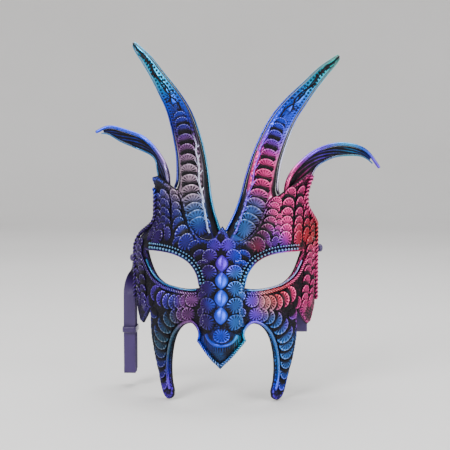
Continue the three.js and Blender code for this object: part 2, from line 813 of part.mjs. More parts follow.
function noseBraid() {
  const curve = (t) => {
    const over = mix(-1, 1, t);
    return [over * noseBraidHalf, mix(-71.2, -54.3, Math.abs(over) ** 1.1)];
  };
  const stations = [];
  const steps = 24;
  for (let i = 0; i <= steps; i += 1) {
    const at = (s) => {
      const [x, z] = curve(clamp01(s));
      return [angleAt(x * widthScale, height(z)), height(z)];
    };
    const t = i / steps;
    const [angle, z] = at(t);
    const centre = skin(angle, z, cordRadius + layerGap);
    const next = at(t + 0.01);
    const last = at(t - 0.01);
    const along = skin(...next, 0).sub(skin(...last, 0)).normalize();
    const up = mouldNormal(angle, z);
    const across = along.cross(up).normalize();
    const size = cordRadius * rib(i);
    stations.push({ centre, across, up, wide: size, tall: size });
  }
  return sweep(stations, 5);
}

// ---- ties ----

// A turned piece about the eyelet's own axis, which runs along X. Profile points are [radius, out].
function turned(side, profile, segments) {
  const geometry = new THREE.LatheGeometry(profile.map(([r, x]) => new THREE.Vector2(r, x)), segments);
  geometry.rotateZ(-Math.PI / 2);
  if (side === 'left') geometry.rotateY(Math.PI);
  geometry.translate(sides[side] * faceHalfWidth, 0, eyeletHeight[side]);
  return geometry;
}

function eyelet(side) {
  const out = eyeletSeat;
  const inn = -shellWall - eyeletSeat;
  return turned(side, [
    [eyeletBore, inn - eyeletFlangeThick], [eyeletFlange, inn - eyeletFlangeThick],
    [eyeletFlange, inn], [eyeletBarrel, inn], [eyeletBarrel, out], [eyeletFlange, out],
    [eyeletFlange, out + eyeletFlangeThick], [eyeletBore, out + eyeletFlangeThick],
    [eyeletBore, inn - eyeletFlangeThick],
  ], 14);
}

// The ribbon's knots, one on each side of the eyelet, and the gathered ribbon between them.
const knotOut = eyeletSeat + eyeletFlangeThick + eyeletClearance;
const knotIn = -shellWall - knotOut;

function knot(side) {
  const ball = (from, direction) => Array.from({ length: 7 }, (_, k) => {
    const turn = mix(0.42, Math.PI, k / 6);
    const r = k === 6 ? 0 : Math.max(knotNeck, knotRadius * Math.sin(turn));
    return [r, from + direction * knotLength * 0.5 * (1.913 * 0.5 - Math.cos(turn)) * 1.02];
  });
  const outer = ball(knotOut, 1);
  const inner = ball(knotIn, -1).reverse();
  return turned(side, [...inner, ...outer], 10);
}

const ribbonOff = (side) => (side === 'left' ? knotOut : knotIn - knotLength) + knotLength / 2;

// The free lead from the knot down to the hank: flat, turning a quarter as it falls.
function ribbon(side) {
  const start = eyeletHeight[side] - knotRadius - 0.5;
  const end = hankTop[side] + 0.5;
  const stations = [];
  const steps = 10;
  for (let i = 0; i <= steps; i += 1) {
    const t = i / steps;
    const turn = (Math.PI / 2) * smooth(t);
    const x = mix(faceHalfWidth + ribbonOff(side), ribbonX(side), smooth(t));
    const gather = mix(0.4, 1, smooth(t * 2.5));
    stations.push({
      centre: new THREE.Vector3(sides[side] * x, 0, mix(start, end, t)),
      across: new THREE.Vector3(Math.sin(turn), Math.cos(turn), 0),
      up: new THREE.Vector3(-Math.cos(turn), Math.sin(turn), 0),
      wide: (ribbonWidth / 2) * gather,
      tall: ribbonThick / 2,
    });
  }
  return sweep(stations, 8);
}

const ribbonX = (side) => hankX[side] + faceHalfWidth - drawnHalfWidth;

function roundBar(side, wide, deep, low, high) {
  const r = deep / 2;
  const shape = new THREE.Shape();
  shape.absarc(0, high - r, r, 0, Math.PI, false);
  shape.absarc(0, low + r, r, Math.PI, 2 * Math.PI, false);
  shape.closePath();
  const geometry = new THREE.ExtrudeGeometry(shape,
    { depth: wide, bevelEnabled: false, curveSegments: 8 });
  geometry.rotateX(Math.PI / 2);
  geometry.rotateZ(Math.PI / 2);
  geometry.translate(sides[side] * ribbonX(side) - wide / 2, 0, 0);
  return geometry;
}

// Folded surplus of the ribbon. The folds stack from front to back.
function hank(side) {
  return roundBar(side, ribbonWidth, hankDepth[side], hankTop[side] - hankRun[side], hankTop[side]);
}

function hankTie(side) {
  const middle = hankTop[side] - hankRun[side] * 0.45;
  const box = (grow) => {
    const shape = new THREE.BoxGeometry(ribbonWidth + 2 * grow, hankDepth[side] + 2 * grow,
      grow > 1 ? tieBand : tieBand + 2);
    shape.translate(sides[side] * ribbonX(side), 0, middle);
    return solid(shape);
  };
  return unsolid(box(0.35 + tieWall).subtract(box(0.35)));
}

// ---- assembly ----

const finishes = {
  violetShell: { color: 0x4a2f8f, metalness: 0.7, roughness: 0.35 },
  blueHorn: { color: 0x2a55c8, metalness: 0.7, roughness: 0.35 },
  roseScale: { color: 0xb04a86, metalness: 0.75, roughness: 0.3 },
  steelScale: { color: 0x5f8fc0, metalness: 0.75, roughness: 0.3 },
  cyanTrim: { color: 0x37b3d6, metalness: 0.8, roughness: 0.25 },
  blackFelt: { color: 0x16121a, metalness: 0, roughness: 0.95 },
  padCloth: { color: 0x241b2c, metalness: 0, roughness: 0.95 },
  satin: { color: 0x2c1650, metalness: 0, roughness: 0.4 },
  darkBrass: { color: 0x8a6a3a, metalness: 0.9, roughness: 0.35 },
};

const mask = new THREE.Group();
const body = new THREE.Group();
body.position.set(0, -padBack, -(padBottom + padTop) / 2);
mask.add(body);

function add(name, geometry, finish) {
  const mesh = new THREE.Mesh(geometry, new THREE.MeshStandardMaterial(finishes[finish]));
  mesh.name = name;
  body.add(mesh);
}

add('face_shell', faceShell(), 'violetShell');
add('lining', lining(), 'blackFelt');
add('forehead_pad', foreheadPad(), 'padCloth');
add('nose_medallions', noseMedallions(), 'steelScale');
add('nose_tip_plate', noseTipPlate(), 'cyanTrim');
add('nose_braid', noseBraid(), 'cyanTrim');

for (const side of Object.keys(sides)) {
  add(`${side}_horn`, horn(side), 'blueHorn');
  add(`${side}_horn_inner_rim`, hornRim(side, 0), 'cyanTrim');
  add(`${side}_horn_outer_rim`, hornRim(side, 1), 'cyanTrim');
  add(`${side}_horn_scales`, hornRow(side), 'roseScale');
  add(`${side}_horn_vine`, hornVine(side), 'cyanTrim');
  add(`${side}_crescent`, crescent(side), 'blueHorn');
  add(`${side}_crescent_top_rim`, crescentEdge(side, false), 'cyanTrim');
  add(`${side}_crescent_low_rim`, crescentEdge(side, true), 'cyanTrim');
  for (const [name, row] of Object.entries(faceRows)) {
    add(`${side}_${name}`, faceRow(side, row), 'roseScale');
  }
  add(`${side}_nose_flank`, noseFlank(side), 'steelScale');
  add(`${side}_lid_beads`, lidBeads(side), 'cyanTrim');
  add(`${side}_lower_lid_cord`, lowerLidCord(side), 'cyanTrim');
  add(`${side}_mouth_cord`, mouthCord(side), 'cyanTrim');
  add(`${side}_wing_braid`, wingBraid(side), 'cyanTrim');
  add(`${side}_eyelet`, eyelet(side), 'darkBrass');
  add(`${side}_knot`, knot(side), 'satin');
  add(`${side}_ribbon`, ribbon(side), 'satin');
  add(`${side}_ribbon_hank`, hank(side), 'satin');
  add(`${side}_hank_tie`, hankTie(side), 'satin');
}

export default mask;
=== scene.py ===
import math

import bpy
import numpy as np
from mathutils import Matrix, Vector
from mathutils.geometry import delaunay_2d_cdt


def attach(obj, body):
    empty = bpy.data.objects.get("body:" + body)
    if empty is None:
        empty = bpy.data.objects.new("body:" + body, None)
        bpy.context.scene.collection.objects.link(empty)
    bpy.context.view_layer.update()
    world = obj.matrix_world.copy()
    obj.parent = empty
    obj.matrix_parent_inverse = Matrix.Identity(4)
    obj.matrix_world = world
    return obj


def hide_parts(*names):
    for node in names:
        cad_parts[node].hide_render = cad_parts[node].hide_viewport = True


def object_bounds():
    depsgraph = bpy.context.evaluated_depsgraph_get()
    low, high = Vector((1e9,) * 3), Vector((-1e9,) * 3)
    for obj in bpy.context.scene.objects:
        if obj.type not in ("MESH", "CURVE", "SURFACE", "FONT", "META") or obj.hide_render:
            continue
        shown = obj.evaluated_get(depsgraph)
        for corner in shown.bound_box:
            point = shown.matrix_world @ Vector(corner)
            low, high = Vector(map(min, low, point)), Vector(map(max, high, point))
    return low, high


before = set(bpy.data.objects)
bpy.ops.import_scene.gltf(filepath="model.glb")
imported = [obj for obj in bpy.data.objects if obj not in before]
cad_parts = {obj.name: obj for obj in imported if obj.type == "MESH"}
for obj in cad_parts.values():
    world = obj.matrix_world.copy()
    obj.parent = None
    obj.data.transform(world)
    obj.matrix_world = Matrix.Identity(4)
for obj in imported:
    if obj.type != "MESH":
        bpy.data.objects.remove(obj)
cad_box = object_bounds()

bl_info = {
    "name": "Horned scale mask",
    "version": (1, 0, 0),
    "blender": (4, 5, 0),
    "location": "View3D > Sidebar > Mask",
    "description": "A horned, scale-covered half mask with ribbon ties, piece by piece",
    "category": "Object",
}

# ---- sizes, millimetres; z = 0 on the eye line and x = 0 on the nose ----

SIDES = {"left": -1, "right": 1}
FACE_HALF, FACE_DEPTH = 76.0, 62.0  # nose line to temple, nose bridge to temple
LEAN, NOTCH_Z = 3.7, 28.0  # the horns' lean in degrees, about the notch between them
NOTCH_PEAK = 37.0
SHELL_WALL, LINING_GAP, LINING_WALL = 2.5, 1.1, 1.0
LAYER_GAP, SEAM_GAP, SEAM_SLIT = 0.6, 0.6, 0.08
PAD_FRONT, PAD_THICK, PAD_HALF = 6.5, 9.0, 24.0
PAD_LOW, PAD_HIGH = 6.0, 25.0
EYE_MIDDLE = (42, 1)
WING_TOP = {"left": (59, 72), "right": (68, 82.5)}
HORN_SPANS = 6
HORN_WALL, HORN_LENGTH, HORN_END = 2.2, 176.0, 0.985
ROW_LIFT = 0.45
ROW_RISE, ROW_RIDGES = 1.9, 13
HORN_SCALES = 13
TIP = {"left": (116, 106), "right": (127, 91)}
SHOULDER = {"left": (105, 111.5), "right": (112, 106.5)}
BLADE_THICK = 3.6
EYELET_Z = {"left": 5, "right": 14}
EYELET_SEAT, EYELET_RIM = 0.55, 0.7
EYELET_BORE, EYELET_BARREL, EYELET_HOLE, EYELET_FLANGE = 2.2, 2.9, 3.25, 4.6  # radii
KNOT_OUT = EYELET_SEAT + EYELET_RIM + 0.35
KNOT_R, KNOT_LONG, KNOT_NECK = 3.6, 5.4, 1.6
RIBBON_WIDE, RIBBON_THICK = 10.0, 0.7
RUN_PITCH = 3.6
HANK_RUNS = {"left": 5, "right": 7}
HANK_RUN = {"left": 72, "right": 56}
HANK_TOP = {"left": -24, "right": -2}
HANK_DEPTH = {"left": 18, "right": 24}
HANK_X = {"left": 82.6, "right": 64.6}
HORN_RIM, BLADE_RIM, BLADE_LOW_RIM = 1.3, 2.1, 0.9  # radii
VINE_R, TWIG_R, TWIGS = 0.95, 0.6, 22
DOT_PITCH, LEAF_PITCH, STEM_WAVE = 3.2, 6.4, 31  # the horns' engraving
LID_CORD, LOWER_LID_CORD, LOWER_LID_RIBS, MOUTH_CORD = 0.6, 0.75, 1.15, 1.2
WING_BRAID, SHIELD_BRAID = 1.75, 1.15
DISC, SMALL_DISC = 6.2, 4.0
TURN_BACK = 3.2  # from a hank's end to where the ribbon turns
TIE_HALF, TIE_CLEAR = 2.4, 0.45
SKIN_GAP = 0.15
DISH_FLAT, DISH_BEND, DISH_HIGH = 2.1, 0.9, 3.4  # metres: the floor's flat radius, its bend and its rim
LIGHTS = {"key": ((-0.75, -1.1, 0.95), 0.8, 25), "fill": ((1.1, -0.8, 0.35), 1.0, 15),
          "top": ((0.1, 0.35, 1.2), 0.7, 9)}  # place and size in metres, and watts
OVERHEAD = (0, 0, 3.0), 3.4, 95
LOOK_AT, WORLD = (0.0024, -0.01, 0.022), ((0.75, 0.78, 0.85, 1), 0.36)


def mix(a, b, t):
    """a + (b - a) t."""
    return a + (b - a) * t


def smooth(t):
    """3c^2 - 2c^3 of t kept between 0 and 1."""
    c = np.clip(t, 0, 1)
    return c * c * (3 - 2 * c)


def bell(distance, width):
    """exp(-(distance / width)^2)."""
    return np.exp(-(distance / width) ** 2)


def spread(count):
    """Angles of `count` points evenly round a circle."""
    return np.arange(count) * 2 * np.pi / count


def run_length(path):
    """Length along a path at each of its points."""
    return np.concatenate([[0], np.cumsum(np.linalg.norm(np.diff(path, axis=0), axis=1))])


def stacked(*parts):
    """Arrays side by side along a new last axis, each first spread to their common shape."""
    return np.stack(np.broadcast_arrays(*parts), -1)


def squared(v, power):
    """sign(v) |v|^power."""
    return np.sign(v) * np.abs(v) ** power


def line(points):
    """A uniform Catmull-Rom curve through the points, as a function of 0..1."""
    p = np.array(points, float)
    p = np.vstack([2 * p[0] - p[1], p, 2 * p[-1] - p[-2]])

    def at(t):
        s = np.clip(np.asarray(t, float), 0, 1) * (len(p) - 3)
        k = np.minimum(np.floor(s).astype(int), len(p) - 4)
        w = (s - k)[..., None]
        a, b, c, d = p[k], p[k + 1], p[k + 2], p[k + 3]
        t0, t1 = 0.5 * (c - a), 0.5 * (d - b)
        return b + t0 * w + (3 * c - 3 * b - 2 * t0 - t1) * w**2 + (2 * b - 2 * c + t0 + t1) * w**3

    return at


def place(sign, p):
    """Drawn points on one side to their places: mirrored by sign, then leant above the eyes."""
    p = np.asarray(p, float)
    lean = math.radians(LEAN) * smooth((p[..., 1] - 12) / 24)
    dx, dz = sign * p[..., 0], p[..., 1] - NOTCH_Z
    return stacked(dx * np.cos(lean) + dz * np.sin(lean),
                   NOTCH_Z + dz * np.cos(lean) - dx * np.sin(lean))


def half_width(z, left):
    """The mask's half width at a height: the temples, less jaw and left tuck, plus the crown's flare."""
    jaw = 10 * smooth((-30 - z) / 60)
    tuck = np.where(left, 14 * smooth((z - 14) / 30), 0)
    above = np.maximum(0, z - 60)
    return FACE_HALF + 0.62 * above**2 / (above + 15) - jaw - tuck


def relief(x, z):
    """How far the face stands forward: nose ridge, brow, cheek and tusk bells, less the eye socket."""
    x = np.abs(x)
    nose = smooth((24 - z) / 72)
    ridge = 20 * nose + 3 * smooth((44 - z) / 20)
    brow = 4 * bell(z - 24, 13) * smooth(x / 20)
    socket = 6 * bell(x - 42, 20) * bell(z + 1, 13)
    cheek = 5 * bell(x - 48, 17) * bell(z + 28, 14)
    return ridge * bell(x, 9 + 7 * nose) + brow - socket + cheek + 6 * smooth((-60 - z) / 45)


def mould(angle, z):
    """The face surface: x = half width * sin(angle), y = lean - depth * cos(angle) - relief."""
    x = half_width(z, angle < 0) * np.sin(angle)
    above = np.maximum(0, z - 15)
    back = 0.13 * above**2 / (above + 40)
    front = relief(x, z) * smooth(np.cos(angle) / 0.4)
    return stacked(x, back - FACE_DEPTH * np.cos(angle) - front, z)


def unit(v):
    """v / |v|."""
    return v / np.maximum(np.linalg.norm(v, axis=-1, keepdims=True), 1e-9)


def mould_normal(angle, z):
    """Outward normal: (d/d angle) x (d/dz) by differences."""
    across = mould(angle + 0.004, z) - mould(angle - 0.004, z)
    return unit(np.cross(across, mould(angle, z + 0.3) - mould(angle, z - 0.3)))


def skin(angle, z, lift):
    """A point `lift` outside the face."""
    return mould(angle, z) + mould_normal(angle, z) * np.asarray(lift, float)[..., None]


def angle_at(x, z):
    """Angle round the face: arcsin of x over the half width."""
    return np.arcsin(np.clip(x / half_width(z, x < 0), -0.999, 0.999))


def unroll(xz):
    """Front-view points to the unrolled face: (angle * half width, height)."""
    return stacked(angle_at(xz[..., 0], xz[..., 1]) * FACE_HALF, xz[..., 1])


def drawn_flat(side, p):
    """Drawn points on one side to the unrolled face."""
    return unroll(place(SIDES[side], p))


def back_edge(side, z):
    """Angle of the mask's back edge: 98 degrees at the temples, swept forward above and below."""
    sweep, length, top = {"left": (14, 24, 68), "right": (20, 34, 64.5)}[side]
    angle = mix(98, top, smooth((z - sweep) / length)) - 22 * smooth((-10 - z) / 40)
    return np.radians(angle)


PAD_BACK = float(mould(0, 16)[1]) + PAD_FRONT + PAD_THICK
SHIFT = np.array([0, -PAD_BACK, -(PAD_LOW + PAD_HIGH) / 2])

upper_lid = line([[18.5, -13], [21.5, -2], [28, 7], [38, 12.5], [50, 14.5], [65, 14.5]])
lower_lid = line([[18.5, -13], [25, -14.2], [35, -13.6], [48, -10.4], [57.5, -2.5], [65, 14.5]])
mouth_edge = line([[19.5, -54.5], [18.3, -49], [20.5, -44.5], [25.5, -42], [32, -45],
                   [37.5, -52.5], [41, -64], [42.5, -77], [42, -89], [40, -98]])
tusk_outer = line([[40, -98], [41, -103.5], [45.5, -106], [50, -101.5], [54, -87],
                   [58.5, -70], [61, -52], [60.5, -31.5]])
wing_foot = line([[60.5, -31.5], [64, -39], [69.5, -48.5]])
nose_edge = line([[0, -74], [5, -69.5], [12.5, -61.5], [19.5, -54.5]])
horn_seam = line([[.4, 28.2], [9, 25.5], [18, 27.5], [24.5, 35], [29, 44], [32, 53],
                  [36.5, 61], [44, 64]])
horn_inner = line([[.4, 28.2], [7.3, 44.5], [11.5, 59], [15, 78], [19.5, 96], [26, 114],
                   [33.5, 129], [44, 143], [57, 157], [68, 169], [79, 178], [85, 182]])
horn_outer = line([[44, 64], [42.2, 70], [42.3, 79], [43.5, 91], [46.5, 104], [50, 116],
                   [54, 127], [60, 138], [67, 150], [75, 162], [83, 173], [86, 179]])


def horn_drawn(along, over):
    """Between a horn's two edges, pulled on to the joint line near its base."""
    share = over[..., None]
    pull = (1 - smooth(along / 0.3))[..., None]
    return (mix(horn_inner(along), horn_outer(along), share)
            + (horn_seam(over) - mix(horn_inner(0.0), horn_outer(0.0), share)) * pull)


def horn_skin(side, along, over, lift):
    """The horn's front: the face surface under the drawn point, bowed forward by a half sine across."""
    sign = SIDES[side]
    along, over, lift = np.broadcast_arrays(*(np.asarray(v, float) for v in (along, over, lift)))

    def spot(a, o):
        xz = place(sign, horn_drawn(a, o))
        p = mould(angle_at(xz[..., 0], xz[..., 1]), xz[..., 1])
        wide = np.linalg.norm(horn_outer(a) - horn_inner(a), axis=-1)
        bow = 5 * np.sin(np.pi * np.clip(o, 0, 1)) * np.minimum(1, wide / 32) * smooth(a / 0.12)
        p[..., 1] -= bow
        return p

    up = spot(np.minimum(1, along + 0.004), over) - spot(np.maximum(0, along - 0.004), over)
    across = spot(along, over + 0.02) - spot(along, over - 0.02)
    return spot(along, over) + unit(np.cross(across, up)) * sign * lift[..., None]


def horn_spot(xz):
    """Along and over of a drawn point on a horn, found by Newton's steps on horn_drawn."""
    along = np.clip((xz[..., 1] - 34) / 168, 0.02, 0.9)
    over = np.full(along.shape, 0.5)
    for _ in range(9):
        here = horn_drawn(along, over)
        da = (horn_drawn(along + 0.004, over) - here) / 0.004
        do = (horn_drawn(along, over + 0.01) - here) / 0.01
        miss = xz - here
        area = da[..., 0] * do[..., 1] - da[..., 1] * do[..., 0]
        area = np.where(np.abs(area) < 1e-6, 1e-6, area)
        along = np.clip(along + (miss[..., 0] * do[..., 1] - miss[..., 1] * do[..., 0]) / area, 0.002, 0.99)
        over = np.clip(over + (da[..., 0] * miss[..., 1] - da[..., 1] * miss[..., 0]) / area, 0.02, 0.98)
    return along, over


def horn_at(side, xz, lift):
    """The horn's front over a drawn point."""
    return horn_skin(side, *horn_spot(xz), lift)


def horn_insets(side, along):
    """Width, rim radius, and where the back edge and the front shoulder lie across the width."""
    wide = np.linalg.norm(horn_skin(side, along, 0, 0) - horn_skin(side, along, 1, 0), axis=-1)
    rim = HORN_RIM * mix(1, 0.42, smooth(along / 0.8))
    edge = np.minimum(0.3, (2 * rim + SEAM_GAP * mix(1, 0.3, along)) / wide)
    shoulder = edge + np.minimum(0.11, 3.4 * mix(1, 0.14, smooth(along / 0.6)) / wide)
    return wide, rim, edge, shoulder


def horn_depth(along):
    """Depth of a horn behind its edges, from 15 at the foot to 5 at the tip."""
    return mix(15, 5, smooth(along))


def horn_chord(side, along, over, into):
    """On the straight line between a horn's edges, `into` behind it."""
    a, b = horn_skin(side, along, 0, 0), horn_skin(side, along, 1, 0)
    p = mix(a, b, np.asarray(over, float)[..., None])
    return p + np.asarray(into, float)[..., None] * np.array([0, 1, 0])


# ---- pieces from arrays ----


class Form:
    """Points, faces and, for each point, its light and patina: high for a painted highlight, low for black
    patina and painted shade.
    """

    def __init__(self, points, faces, clean):
        self.points = np.asarray(points, float).reshape(-1, 3)
        self.faces = [np.asarray(f, int) for f in faces]
        self.clean = np.broadcast_to(np.ravel(clean), len(self.points)).astype(float)
        self.weave = None
        self.tint = np.zeros((len(self.points), 4))

    def toned(self, name, share):
        """This share of the form's colour is the one swatch of painted coloured light."""
        self.tint[:, :3] = swatch(name)
        self.tint[:, 3] = share
        return self

    def volume(self):
        total = 0.0
        for f in self.faces:
            a = self.points[f[:, 0]]
            for k in range(1, f.shape[1] - 1):
                total += np.einsum("ij,ij->", a, np.cross(self.points[f[:, k]], self.points[f[:, k + 1]]))
        return total

    def outward(self):
        if self.volume() < 0:
            self.faces = [f[:, ::-1] for f in self.faces]
        return self


def merged(forms):
    """Several forms as one, each already facing outwards."""
    start, faces = 0, []
    for form in forms:
        form.outward()
        faces += [f + start for f in form.faces]
        start += len(form.points)
    whole = Form(np.vstack([f.points for f in forms]), faces, np.concatenate([f.clean for f in forms]))
    whole.tint = np.vstack([f.tint for f in forms])
    return whole


def ring_faces(rings, count):
    """Quads between rings of `count` points, closed round."""
    r, k = np.meshgrid(np.arange(rings - 1), np.arange(count), indexing="ij")
    a, b = r * count + k, r * count + (k + 1) % count
    return stacked(a, b, b + count, a + count).reshape(-1, 4)


def lofted(points, clean=1.0, pairs=False):
    """Rings joined in order; the ends are flat fans, or pair strips where a ring runs out and back."""
    rings, count = points.shape[:2]
    cap = np.arange(count)[None, :]
    if pairs:
        k = np.arange(count // 2 - 1)
        cap = stacked(k, k + 1, count - 2 - k, count - 1 - k)
    return Form(points, [ring_faces(rings, count), cap[:, ::-1], cap + (rings - 1) * count], clean)


def hoop(points, clean):
    """Rings joined in order, the last to the first."""
    rings, count = points.shape[:2]
    return Form(points, [ring_faces(rings + 1, count) % (rings * count)], clean)


def plate(outer, inner, clean=1.0):
    """Two grids of points, front and back, joined round the edge."""
    rings = np.concatenate([outer, inner[:, ::-1]], axis=1)
    if np.ndim(clean):
        clean = np.concatenate([clean, np.zeros_like(clean)], axis=1)
    return lofted(rings, clean, pairs=True)


def tube(path, radius, up, count=12, ripple=None, flat=1.0):
    """A round section carried along a path, its ends rounded. ripple = (depth, lobes, pitch) twists it."""
    path = np.asarray(path, float)
    radius = np.broadcast_to(radius, len(path)).astype(float)
    up = np.broadcast_to(up, path.shape)
    along = unit(np.gradient(path, axis=0))
    ends = np.radians([80, 55, 28])
    head = path[0] - along[0] * radius[0] * np.sin(ends)[:, None]
    tail = path[-1] + along[-1] * radius[-1] * np.sin(ends[::-1])[:, None]
    path = np.vstack([head, path, tail])
    radius = np.concatenate([radius[0] * np.cos(ends), radius, radius[-1] * np.cos(ends[::-1])])
    along = np.vstack([along[[0] * 3], along, along[[-1] * 3]])
    up = np.vstack([up[[0] * 3], up, up[[-1] * 3]])
    across = unit(np.cross(along, up))
    up = unit(np.cross(across, along))
    turn = spread(count) + np.pi / count
    r = radius[:, None] * np.ones(count)
    # Painted light: each tube is lighter on its up side and darker on the far side.
    clean = 0.62 + 0.2 * np.sin(turn)[None, :] * np.ones_like(r)
    if ripple:
        depth, lobes, pitch = ripple
        wave = np.sin(lobes * turn[None, :] + 2 * np.pi * run_length(path)[:, None] / pitch)
        r = r * (1 + depth * wave)
        # Painted light on a twist: lighter on its ridges, darker in its grooves.
        clean = clean * (0.6 + 0.6 * wave)
    points = (path[:, None] + across[:, None] * (r * np.cos(turn))[..., None]
              + up[:, None] * (r * np.sin(turn) * flat)[..., None])
    return lofted(points, clean)


def beads(centres, radius):
    """A small sphere at each centre: rings of latitude closed at both poles."""
    lat, lon = np.linspace(0.08, np.pi - 0.08, 7)[:, None], spread(9)
    ball = stacked(np.sin(lat) * np.cos(lon), np.cos(lat), np.sin(lat) * np.sin(lon))
    # 0.9: a painted highlight on every bead.
    return merged([lofted(centre + radius * ball, 0.9) for centre in centres])


def fan_scales(surface, centres, headings, wide, long, rise, ridges, low=0.35, foot=0.0):
    """Overlapping fan scales. On polar grids (rho, theta) a scale tilts up towards its heading, swells in
    the middle, carries `ridges` radial ridges and a lip, and closes underneath."""
    rho = np.array([0.04, 0.3, 0.52, 0.68, 0.8, 0.9, 0.97, 1.0, 0.97, 0.5, 0.05])
    top = (np.arange(len(rho)) < 8)[:, None]
    theta = spread(ridges * 3)
    n = len(centres)
    wide, long, foot = (np.broadcast_to(v, n)[:, None, None] for v in (wide, long, foot))
    sin, cos = np.sin(theta), np.cos(theta)
    r = rho[:, None]
    side = stacked(headings[:, 1], -headings[:, 0])
    spots = (centres[:, None, None] + headings[:, None, None] * (long * r * cos)[..., None]
             + side[:, None, None] * (wide * r * sin)[..., None])
    tilt = rise * (0.5 + 0.5 * r * cos) ** 1.3
    ridge = np.cos(ridges * theta) * smooth((r - 0.4) / 0.25) * (1 - smooth((r - 0.93) / 0.07))
    lip = bell(r - 0.93, 0.05) * smooth((cos + 0.35) / 0.6)
    swell = 0.55 * (1 - r**2)
    height = LAYER_GAP * low + tilt + swell + 0.36 * ridge + 0.45 * lip
    under = LAYER_GAP * 0.2 + tilt * 0.4
    height = np.where(top, mix(under, height, np.where(r >= 1, 0.55, 1)), under)
    # Painted shade darkens the foot of each scale, where the next one covers it; painted highlights brighten
    # its ridges and lip.
    shown = smooth((r * cos + 0.3 + foot) / 0.8)
    clean = 0.07 + 0.33 * shown + 0.5 * ridge * (0.3 + 0.7 * np.abs(sin)) * shown + 0.8 * lip
    clean = np.where(top & (r < 0.99), clean, 0.02)
    points = surface(spots[..., 0], spots[..., 1], np.broadcast_to(height, (n,) + height.shape))
    clean = np.broadcast_to(clean, points.shape[:3])
    return merged([lofted(points[k], clean[k]) for k in range(n)])


def first_bare(count):
    """The first scale of a row has nothing over its foot, so no painted shade darkens its foot."""
    return np.where(np.arange(count) == 0, 1.0, 0.0)


def on_face(u, z, lift):
    """A point `lift` outside a place on the unrolled face."""
    return skin(u / FACE_HALF, z, lift)


def heading_of(curve, t):
    """Unit direction of a curve at t, by differences."""
    return unit(curve(np.minimum(1, t + 0.01)) - curve(np.maximum(0, t - 0.01)))


def row_stations(curve, count):
    """Centres and headings of `count` scales along a curve on the unrolled face."""
    s = (np.arange(count) + 0.5) / count
    return curve(s), heading_of(curve, s), s


def face_curve(side, keys=None, column=None):
    """A curve on the unrolled face, through drawn keys or through (degrees round the face, height)."""
    shape = line(keys or column)

    def at(t):
        p = shape(t)
        if keys:
            return drawn_flat(side, p)
        return stacked(SIDES[side] * np.radians(p[..., 0]) * FACE_HALF, p[..., 1])

    return at


# ---- paint: painted coloured light ----

# Where each painted coloured light is strongest: x, z and reach. The hues stand for coloured lamplight, not
# the mask's own colour; ice, near white, is a painted highlight.
LIGHT_ZONES = {
    "teal": [(88, 180, 26)],
    "cyan": [(70, 158, 20), (18, -58, 7), (-72, 172, 20), (-60, 152, 16), (104, 104, 13)],
    "blue": [(58, 138, 14), (48, 118, 13), (48, -92, 8), (14, 12, 7), (0, -50, 7), (-16, -58, 7),
        (-50, 132, 12), (-60, 74, 10), (-100, 108, 30), (118, 100, 9)],
    "violet": [(43, 103, 10), (42, 26, 9), (24, -24, 6), (28, -36, 7), (57, -42, 8), (45, -104, 7),
        (0, 18, 8), (0, 6, 6), (-56, -24, 8), (-47, -98, 8), (80, 96, 16), (126, 90, 6)],
    "rose": [(38, 88, 14), (32, 70, 14), (46, 52, 10), (52, 34, 9), (62, 50, 12), (70, 72, 12),
        (70, 4, 12), (64, -18, 10), (68, -38, 10), (54, -26, 8)],
    "steel": [(25, 52, 11), (19, 38, 10), (42, -42, 9), (52, -62, 12), (52, -80, 10), (12, -8, 7),
        (12, -22, 7), (12, -38, 7), (0, -68, 9), (-24, 46, 10)],
    "maroon": [(33, 36, 9), (31, 22, 9)],
    "red": [(68, 30, 10), (47, -20, 9)],
    "blush": [(36, -26, 8)],
    "periwinkle": [(0, -8, 7), (0, -22, 7), (0, -35, 7)],
    "purple": [(-12, 10, 8), (-13, -10, 8), (-13, -36, 8), (-56, 40, 14), (-64, 10, 16),
        (-66, -30, 12)],
    "indigo": [(-45, 116, 11), (-15, 28, 9), (-32, 30, 9), (-44, 48, 10), (-42, -25, 7), (-58, -42, 8),
        (-53, -80, 9)],
    "mauve": [(-40, 98, 11), (-29, -24, 7), (-31, -37, 7)],
    "pearl": [(-35, 80, 13), (-31, 62, 12)],
    "slate": [(-46, -42, 9), (-52, -62, 12)],
    "ice": [(47, 78, 4), (48.5, 88, 4), (51, 99, 4), (55, 110, 4)],
}


def swatch(name):
    """A colour from the add-on's settings: a painted coloured light, and for the ribbon its own colour."""
    return np.array(getattr(bpy.context.scene.mask_paint, name)[:])


def painted(points):
    """Painted coloured light at each point: the swatches averaged with weights exp(-(distance / reach)^2)."""
    total = np.full(len(points), 1e-5)
    colour = np.outer(total, swatch("indigo"))
    for name, spots in LIGHT_ZONES.items():
        for x, z, reach in spots:
            weight = bell(np.hypot(points[:, 0] - x, points[:, 2] - z), reach)
            colour += np.outer(weight, swatch(name))
            total += weight
    return colour / total[:, None]


